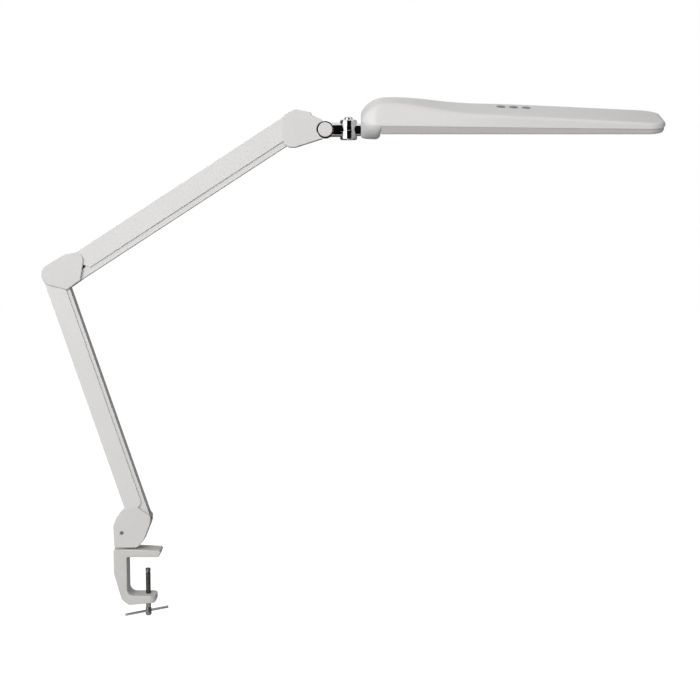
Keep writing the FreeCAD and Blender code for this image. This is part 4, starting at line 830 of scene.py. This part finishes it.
class LAMP_OT_shells(bpy.types.Operator):
    """Moulded shells over the base, elbow and bracket, and the caps of the tilt joint"""
    bl_idname = "lamp.shells"
    bl_label = "Moulded shells"

    def execute(self, context):
        finish_nodes(shell_abs(), "base_shell_front", "base_shell_back", "elbow_shell_front",
                     "elbow_shell_back", "bracket_shell_front", "bracket_shell_back", "tilt_caps",
                     edge_mm=0.6)
        return {"FINISHED"}


class LAMP_OT_shell_screws(bpy.types.Operator):
    """Screws of the moulded shells, each with a hexagon socket"""
    bl_idname = "lamp.shell_screws"
    bl_label = "Shell screws"

    def execute(self, context):
        for name in ("base_screws", "elbow_screw", "bracket_screw"):
            screws = own_copy(name, name + "_socketed")
            low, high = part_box(name)
            for face in (low.y, high.y):
                if abs(face) >= SCREW_HEAD_OUT * MM:
                    cut(screws, 6, sizes().socket_key / 2, SOCKET_TOOL * MM,
                        ((low.x + high.x) / 2, face, (low.z + high.z) / 2), (QUARTER, 0, 0))
            smooth(screws, 30)
            settle(screws, black_oxide(), body_of(name), "black_screw", name)
        return {"FINISHED"}


class LAMP_OT_joint(bpy.types.Operator):
    """Chrome-plated knuckle, drums and screw between the bracket and the head"""
    bl_idname = "lamp.joint"
    bl_label = "Chrome joint"

    def execute(self, context):
        finish_nodes(chrome_plate(), "tilt_knuckle", "swivel_link", "drum_screw", edge_mm=0.3, degrees=35)
        dress(turned_steel(), "tilt_bolt", "drum_nut", "roll_nut")
        dress(nylon(), "tilt_washers", "drum_washer")
        return {"FINISHED"}


class LAMP_OT_cores(bpy.types.Operator):
    """Cast cores inside the shells, with their pivot pins and spring pins"""
    bl_idname = "lamp.cores"
    bl_label = "Cast cores and pins"

    def execute(self, context):
        finish_nodes(raw_casting(), "base_core", "elbow_core", "bracket_core", edge_mm=0.4)
        dress(turned_steel(), "base_pivot_pins", "elbow_pivot_pins", "bracket_pivot_pins")
        dress(powder_coat(), "lower_spring_pin", "upper_spring_pin")
        return {"FINISHED"}


class LAMP_OT_head_shell(bpy.types.Operator):
    """Moulded upper shell of the head, whose long edges are wide over the crown and narrow at the tip"""
    bl_idname = "lamp.head_shell"
    bl_label = "Head shell"

    def execute(self, context):
        stations = head_stations()
        upper = section_net(stations, upper_section, "head_upper_shell")
        chin = section_net([x for x in stations if x <= CHIN_LENGTH], chin_section, "head_chin")
        shell = join([upper, chin], "head_housing_finished")
        edit_all(shell)
        bpy.ops.mesh.remove_doubles(threshold=0.02 * MM)
        leave_edit()
        # The upright back wall, and the chin's front wall below the seam
        close_ring(shell, lambda at: at.x < 0.01 * MM)
        close_ring(shell, lambda at: abs(at.x - CHIN_LENGTH * MM) < 0.01 * MM
                   and at.z < (seam_height(CHIN_LENGTH) + 0.01) * MM)
        outward(shell)
        apply_modifier(shell, "SOLIDIFY", thickness=HEAD_WALL * MM, offset=-1, use_even_offset=False,
                       use_quality_normals=True)
        cut(shell, 48, SHAFT_ROUND * MM, 20 * MM, (0, 0, 0), (0, QUARTER, 0))
        for x in BUTTON_HOLES:
            cut(shell, 48, BUTTON_HOLE_ROUND * MM, 16 * MM,
                Vector((x, BUTTON_SIDE, roof_height(x))) * MM, (0, 0, 0))
        smooth(shell, 40)
        apply_modifier(shell, "WEIGHTED_NORMAL", keep_sharp=True, weight=60)
        apply_place(shell, HEAD_PLACE)
        settle(shell, head_abs(), "head", "head_plastic", "head_housing")
        settle(self.round_rim(), rim_abs(), "head", "rim_plastic", "head_rim")
        return {"FINISHED"}

    def round_rim(self):
        """The rim, whose outer wall stays upright at the seam and curves in towards its floor."""
        rim = own_copy("head_rim", "head_rim_finished")
        apply_place(rim, HEAD_PLACE.inverted())
        edit_all(rim)
        bpy.ops.mesh.dissolve_limited(angle_limit=FLAT)
        for up in RIM_CUTS:
            bpy.ops.mesh.select_all(action="SELECT")
            bpy.ops.mesh.bisect(plane_co=(0, 0, (RIM_FLOOR + up) * MM), plane_no=(0, 0, 1))
        leave_edit()
        straight_end, inner_half = HEAD_LENGTH - TIP_ROUND, HEAD_HALF - TIP_ROUND
        for vertex in rim.data.vertices:
            x, y, z = vertex.co / MM
            side = math.copysign(1, y)
            if x <= straight_end:
                away = Vector((0, y - side * inner_half))
            else:
                away = Vector((x, y)) - Vector((straight_end, side * min(abs(y), inner_half)))
            top = seam_height(x) - SEAM_GAP
            share = min(max((top - z) / (top - RIM_FLOOR), 0), 1)
            if abs(TIP_ROUND - RIM_DRAFT * share - away.length) < RIM_NEAR:
                vertex.co += Vector((*away.normalized(), 0)) * RIM_DRAFT * (share - share ** 2) * MM
        apply_modifier(rim, "BEVEL", width=RIM_EDGE * MM, segments=4, limit_method="ANGLE",
                       angle_limit=SHARP, use_clamp_overlap=True)
        smooth(rim, 35)
        return apply_place(rim, HEAD_PLACE)


class LAMP_OT_light_unit(bpy.types.Operator):
    """Diffuser, light strips, heat sink, driver and switch board"""
    bl_idname = "lamp.light_unit"
    bl_label = "Light unit"

    def execute(self, context):
        dress(opal_acrylic(), "diffuser")
        dress(rolled_aluminium(), "heat_sink")
        dress(white_board(), "led_strip_front", "led_strip_back")
        dress(driver_case(), "led_driver")
        dress(green_board(), "switch_board")
        return {"FINISHED"}


class LAMP_OT_buttons(bpy.types.Operator):
    """Three push buttons with plain raised signs"""
    bl_idname = "lamp.buttons"
    bl_label = "Push buttons"

    def execute(self, context):
        finish_nodes(button_abs(), "power_button", "brighter_button", "dimmer_button", edge_mm=0.4)
        inward = HEAD_PLACE.inverted()
        for body, x in zip(("power", "brighter", "dimmer"), BUTTON_HOLES):
            sign = join(self.strokes(body), body + "_sign")
            mesh = frame["nodes"][body + "_button"].data
            top = max((inward @ vertex.co).z for vertex in mesh.vertices) / MM
            place = Matrix.Translation(Vector((x, BUTTON_SIDE, top)) * MM)
            apply_place(sign, HEAD_PLACE @ place)
            settle(smooth(sign), sign_abs(), body, "button_plastic")
        return {"FINISHED"}

    def strokes(self, body):
        """The strokes of one sign, sunk into its button with only their tops proud of it."""
        width, thick = sizes().sign, SIGN_THICK * MM
        stroke = width * SIGN_STROKE
        bars = {"power": ((stroke, width / 2),), "brighter": ((stroke, width), (width, stroke)),
                "dimmer": ((stroke, width),)}[body]
        strokes = []
        if body == "power":
            bpy.ops.mesh.primitive_torus_add(major_radius=width / 2 - stroke / 2, minor_radius=stroke / 2,
                                             major_segments=32, minor_segments=8)
            ring = bpy.context.object
            ring.scale = (1, 1, RING_THICK * MM / stroke)
            strokes.append(apply_place(ring))
        for along, across in bars:
            deselect()
            bpy.ops.mesh.primitive_cube_add(size=1, location=(0, 0, SIGN_PROUD * MM - thick / 2))
            bar = bpy.context.object
            bar.scale = (along, across, thick)
            strokes.append(apply_place(bar))
        return strokes


class LAMP_OT_studio(bpy.types.Operator):
    """Pale floor, white background, soft lights and the camera"""
    bl_idname = "lamp.studio"
    bl_label = "Studio"

    def execute(self, context):
        scene, studio = context.scene, context.scene.lamp_studio
        scene.view_settings.view_transform = "Standard"
        deselect()
        bpy.ops.object.camera_add(location=CAMERA_AT, rotation=(CAMERA_TURN, 0, 0))
        camera = context.object
        camera.name = "photo_camera"
        camera.data.lens = CAMERA_LENS
        camera.data.sensor_width = 36
        camera.data.clip_end = 50
        scene.camera = camera
        scene.world = self.sky(studio)
        self.floor(studio)
        for name, place, size, power in LIGHTS:
            deselect()
            bpy.ops.object.light_add(type="AREA", location=place,
                                     rotation=(LIGHT_AIM - place).to_track_quat("-Z", "Y").to_euler())
            light = context.object
            light.name = name
            light.data.size = size
            light.data.energy = getattr(studio, power)
        for card in CARDS:
            self.card(studio, *card)
        return {"FINISHED"}

    def sky(self, studio):
        """White where it is seen, and even light elsewhere.

        The even light is stronger from the left, so that faces turned to the right fall into shade.
        """
        world = bpy.data.worlds.new("studio_world")
        tree = emptied_tree(world)
        shown = seen_directly(tree)
        plain = add_node(tree, "ShaderNodeBackground", {"Color": [*studio.backdrop, 1.0], "Strength": 1.0})
        toward = add_node(tree, "ShaderNodeTexCoord").outputs["Generated"]
        across = add_node(tree, "ShaderNodeSeparateXYZ", {"Vector": toward})
        strength = add_node(tree, "ShaderNodeMapRange", {
            "Value": across.outputs["X"], "From Min": -SKY_CHANGE, "From Max": SKY_CHANGE,
            "To Min": studio.left_sky, "To Max": studio.right_sky})
        soft = add_node(tree, "ShaderNodeBackground", {
            "Color": (1, 1, 1, 1), "Strength": strength.outputs["Result"]})
        both = add_node(tree, "ShaderNodeMixShader", {0: shown, 1: soft.outputs[0], 2: plain.outputs[0]})
        add_node(tree, "ShaderNodeOutputWorld", {"Surface": both.outputs[0]})
        return world

    def floor(self, studio):
        """A matt floor, lifted to white where it is seen, which keeps the lamp's shadow."""
        deselect()
        bpy.ops.mesh.primitive_plane_add(size=FLOOR_SIZE, location=(0.2, 0, -studio.floor_level))
        floor = bpy.context.object
        floor.name = "studio_floor"
        material = bpy.data.materials.new("matt_white_floor")
        tree = emptied_tree(material)
        shown = seen_directly(tree)
        matt = add_node(tree, "ShaderNodeBsdfDiffuse", {"Color": (FLOOR_GREY, FLOOR_GREY, FLOOR_GREY, 1)})
        lift = add_node(tree, "ShaderNodeEmission", {
            "Color": [*studio.backdrop, 1.0], "Strength": FLOOR_LIFT})
        lifted = add_node(tree, "ShaderNodeAddShader", {0: matt.outputs[0], 1: lift.outputs[0]})
        both = add_node(tree, "ShaderNodeMixShader", {0: shown, 1: matt.outputs[0], 2: lifted.outputs[0]})
        # Clear from below, so that a view from under the desk shows the lamp's underside
        side = add_node(tree, "ShaderNodeNewGeometry")
        clear = add_node(tree, "ShaderNodeBsdfTransparent")
        sided = add_node(tree, "ShaderNodeMixShader", {
            0: side.outputs["Backfacing"], 1: both.outputs[0], 2: clear.outputs[0]})
        add_node(tree, "ShaderNodeOutputMaterial", {"Surface": sided.outputs[0]})
        floor.data.materials.append(material)

    def card(self, studio, name, first, last, level, height):
        """An upright card on a circle around the head's joint, with its foot on the floor and its roof."""
        middle = JOINT_AT["head_swivel"]
        floor = -studio.floor_level + CARD_GAP
        ends = [Vector((math.sin(math.radians(bearing)), -math.cos(math.radians(bearing)), 0))
                for bearing in (first, last)]
        rows = []
        for away, up in ((CARD_FOOT, 0), (CARD_REACH, 0), (CARD_REACH, height), (CARD_ROOF, height)):
            rows.append([Vector((middle.x, middle.y, floor + up)) + end * away for end in ends])
        # Only the black card has a roof, and only the bright one has no foot
        if name != "black_card":
            rows = rows[:3]
        if name == "bright_card":
            rows = rows[1:]
        board = net(rows, name)
        material = bpy.data.materials.new(name)
        tree = emptied_tree(material)
        glow = add_node(tree, "ShaderNodeEmission", {"Color": (1, 1, 1, 1), "Strength": level})
        add_node(tree, "ShaderNodeOutputMaterial", {"Surface": glow.outputs[0]})
        material.cycles.emission_sampling = "NONE"
        coat(board, material)
        for kind in ("camera", "diffuse", "transmission", "volume_scatter", "shadow"):
            setattr(board, "visible_" + kind, False)


PIECES = (LAMP_OT_clamp, LAMP_OT_spindle, LAMP_OT_arms, LAMP_OT_springs, LAMP_OT_cores, LAMP_OT_shells,
          LAMP_OT_shell_screws, LAMP_OT_joint, LAMP_OT_head_shell, LAMP_OT_light_unit, LAMP_OT_buttons,
          LAMP_OT_studio)


class LAMP_PT_panel(bpy.types.Panel):
    """Sizes, colours and pieces of the clamp lamp"""
    bl_label = "Clamp Lamp"
    bl_idname = "LAMP_PT_panel"
    bl_space_type = "VIEW_3D"
    bl_region_type = "UI"
    bl_category = "Clamp Lamp"

    def draw(self, context):
        layout = self.layout
        for group in (context.scene.lamp_sizes, context.scene.lamp_colours, context.scene.lamp_studio):
            box = layout.box()
            for name in type(group).__annotations__:
                box.prop(group, name)
        for piece in PIECES:
            layout.operator(piece.bl_idname)


CLASSES = (LampSizes, LampColours, StudioSettings, *PIECES, LAMP_PT_panel)


def register():
    for kind in CLASSES:
        bpy.utils.register_class(kind)
    bpy.types.Scene.lamp_sizes = bpy.props.PointerProperty(type=LampSizes)
    bpy.types.Scene.lamp_colours = bpy.props.PointerProperty(type=LampColours)
    bpy.types.Scene.lamp_studio = bpy.props.PointerProperty(type=StudioSettings)


def unregister():
    del bpy.types.Scene.lamp_studio
    del bpy.types.Scene.lamp_colours
    del bpy.types.Scene.lamp_sizes
    for kind in reversed(CLASSES):
        bpy.utils.unregister_class(kind)


def main():
    register()
    bpy.ops.lamp.clamp()
    bpy.ops.lamp.spindle()
    bpy.ops.lamp.arms()
    bpy.ops.lamp.springs()
    bpy.ops.lamp.cores()
    bpy.ops.lamp.shells()
    bpy.ops.lamp.shell_screws()
    bpy.ops.lamp.joint()
    bpy.ops.lamp.head_shell()
    bpy.ops.lamp.light_unit()
    bpy.ops.lamp.buttons()
    bpy.ops.lamp.studio()


if __name__ == "__main__":
    main()
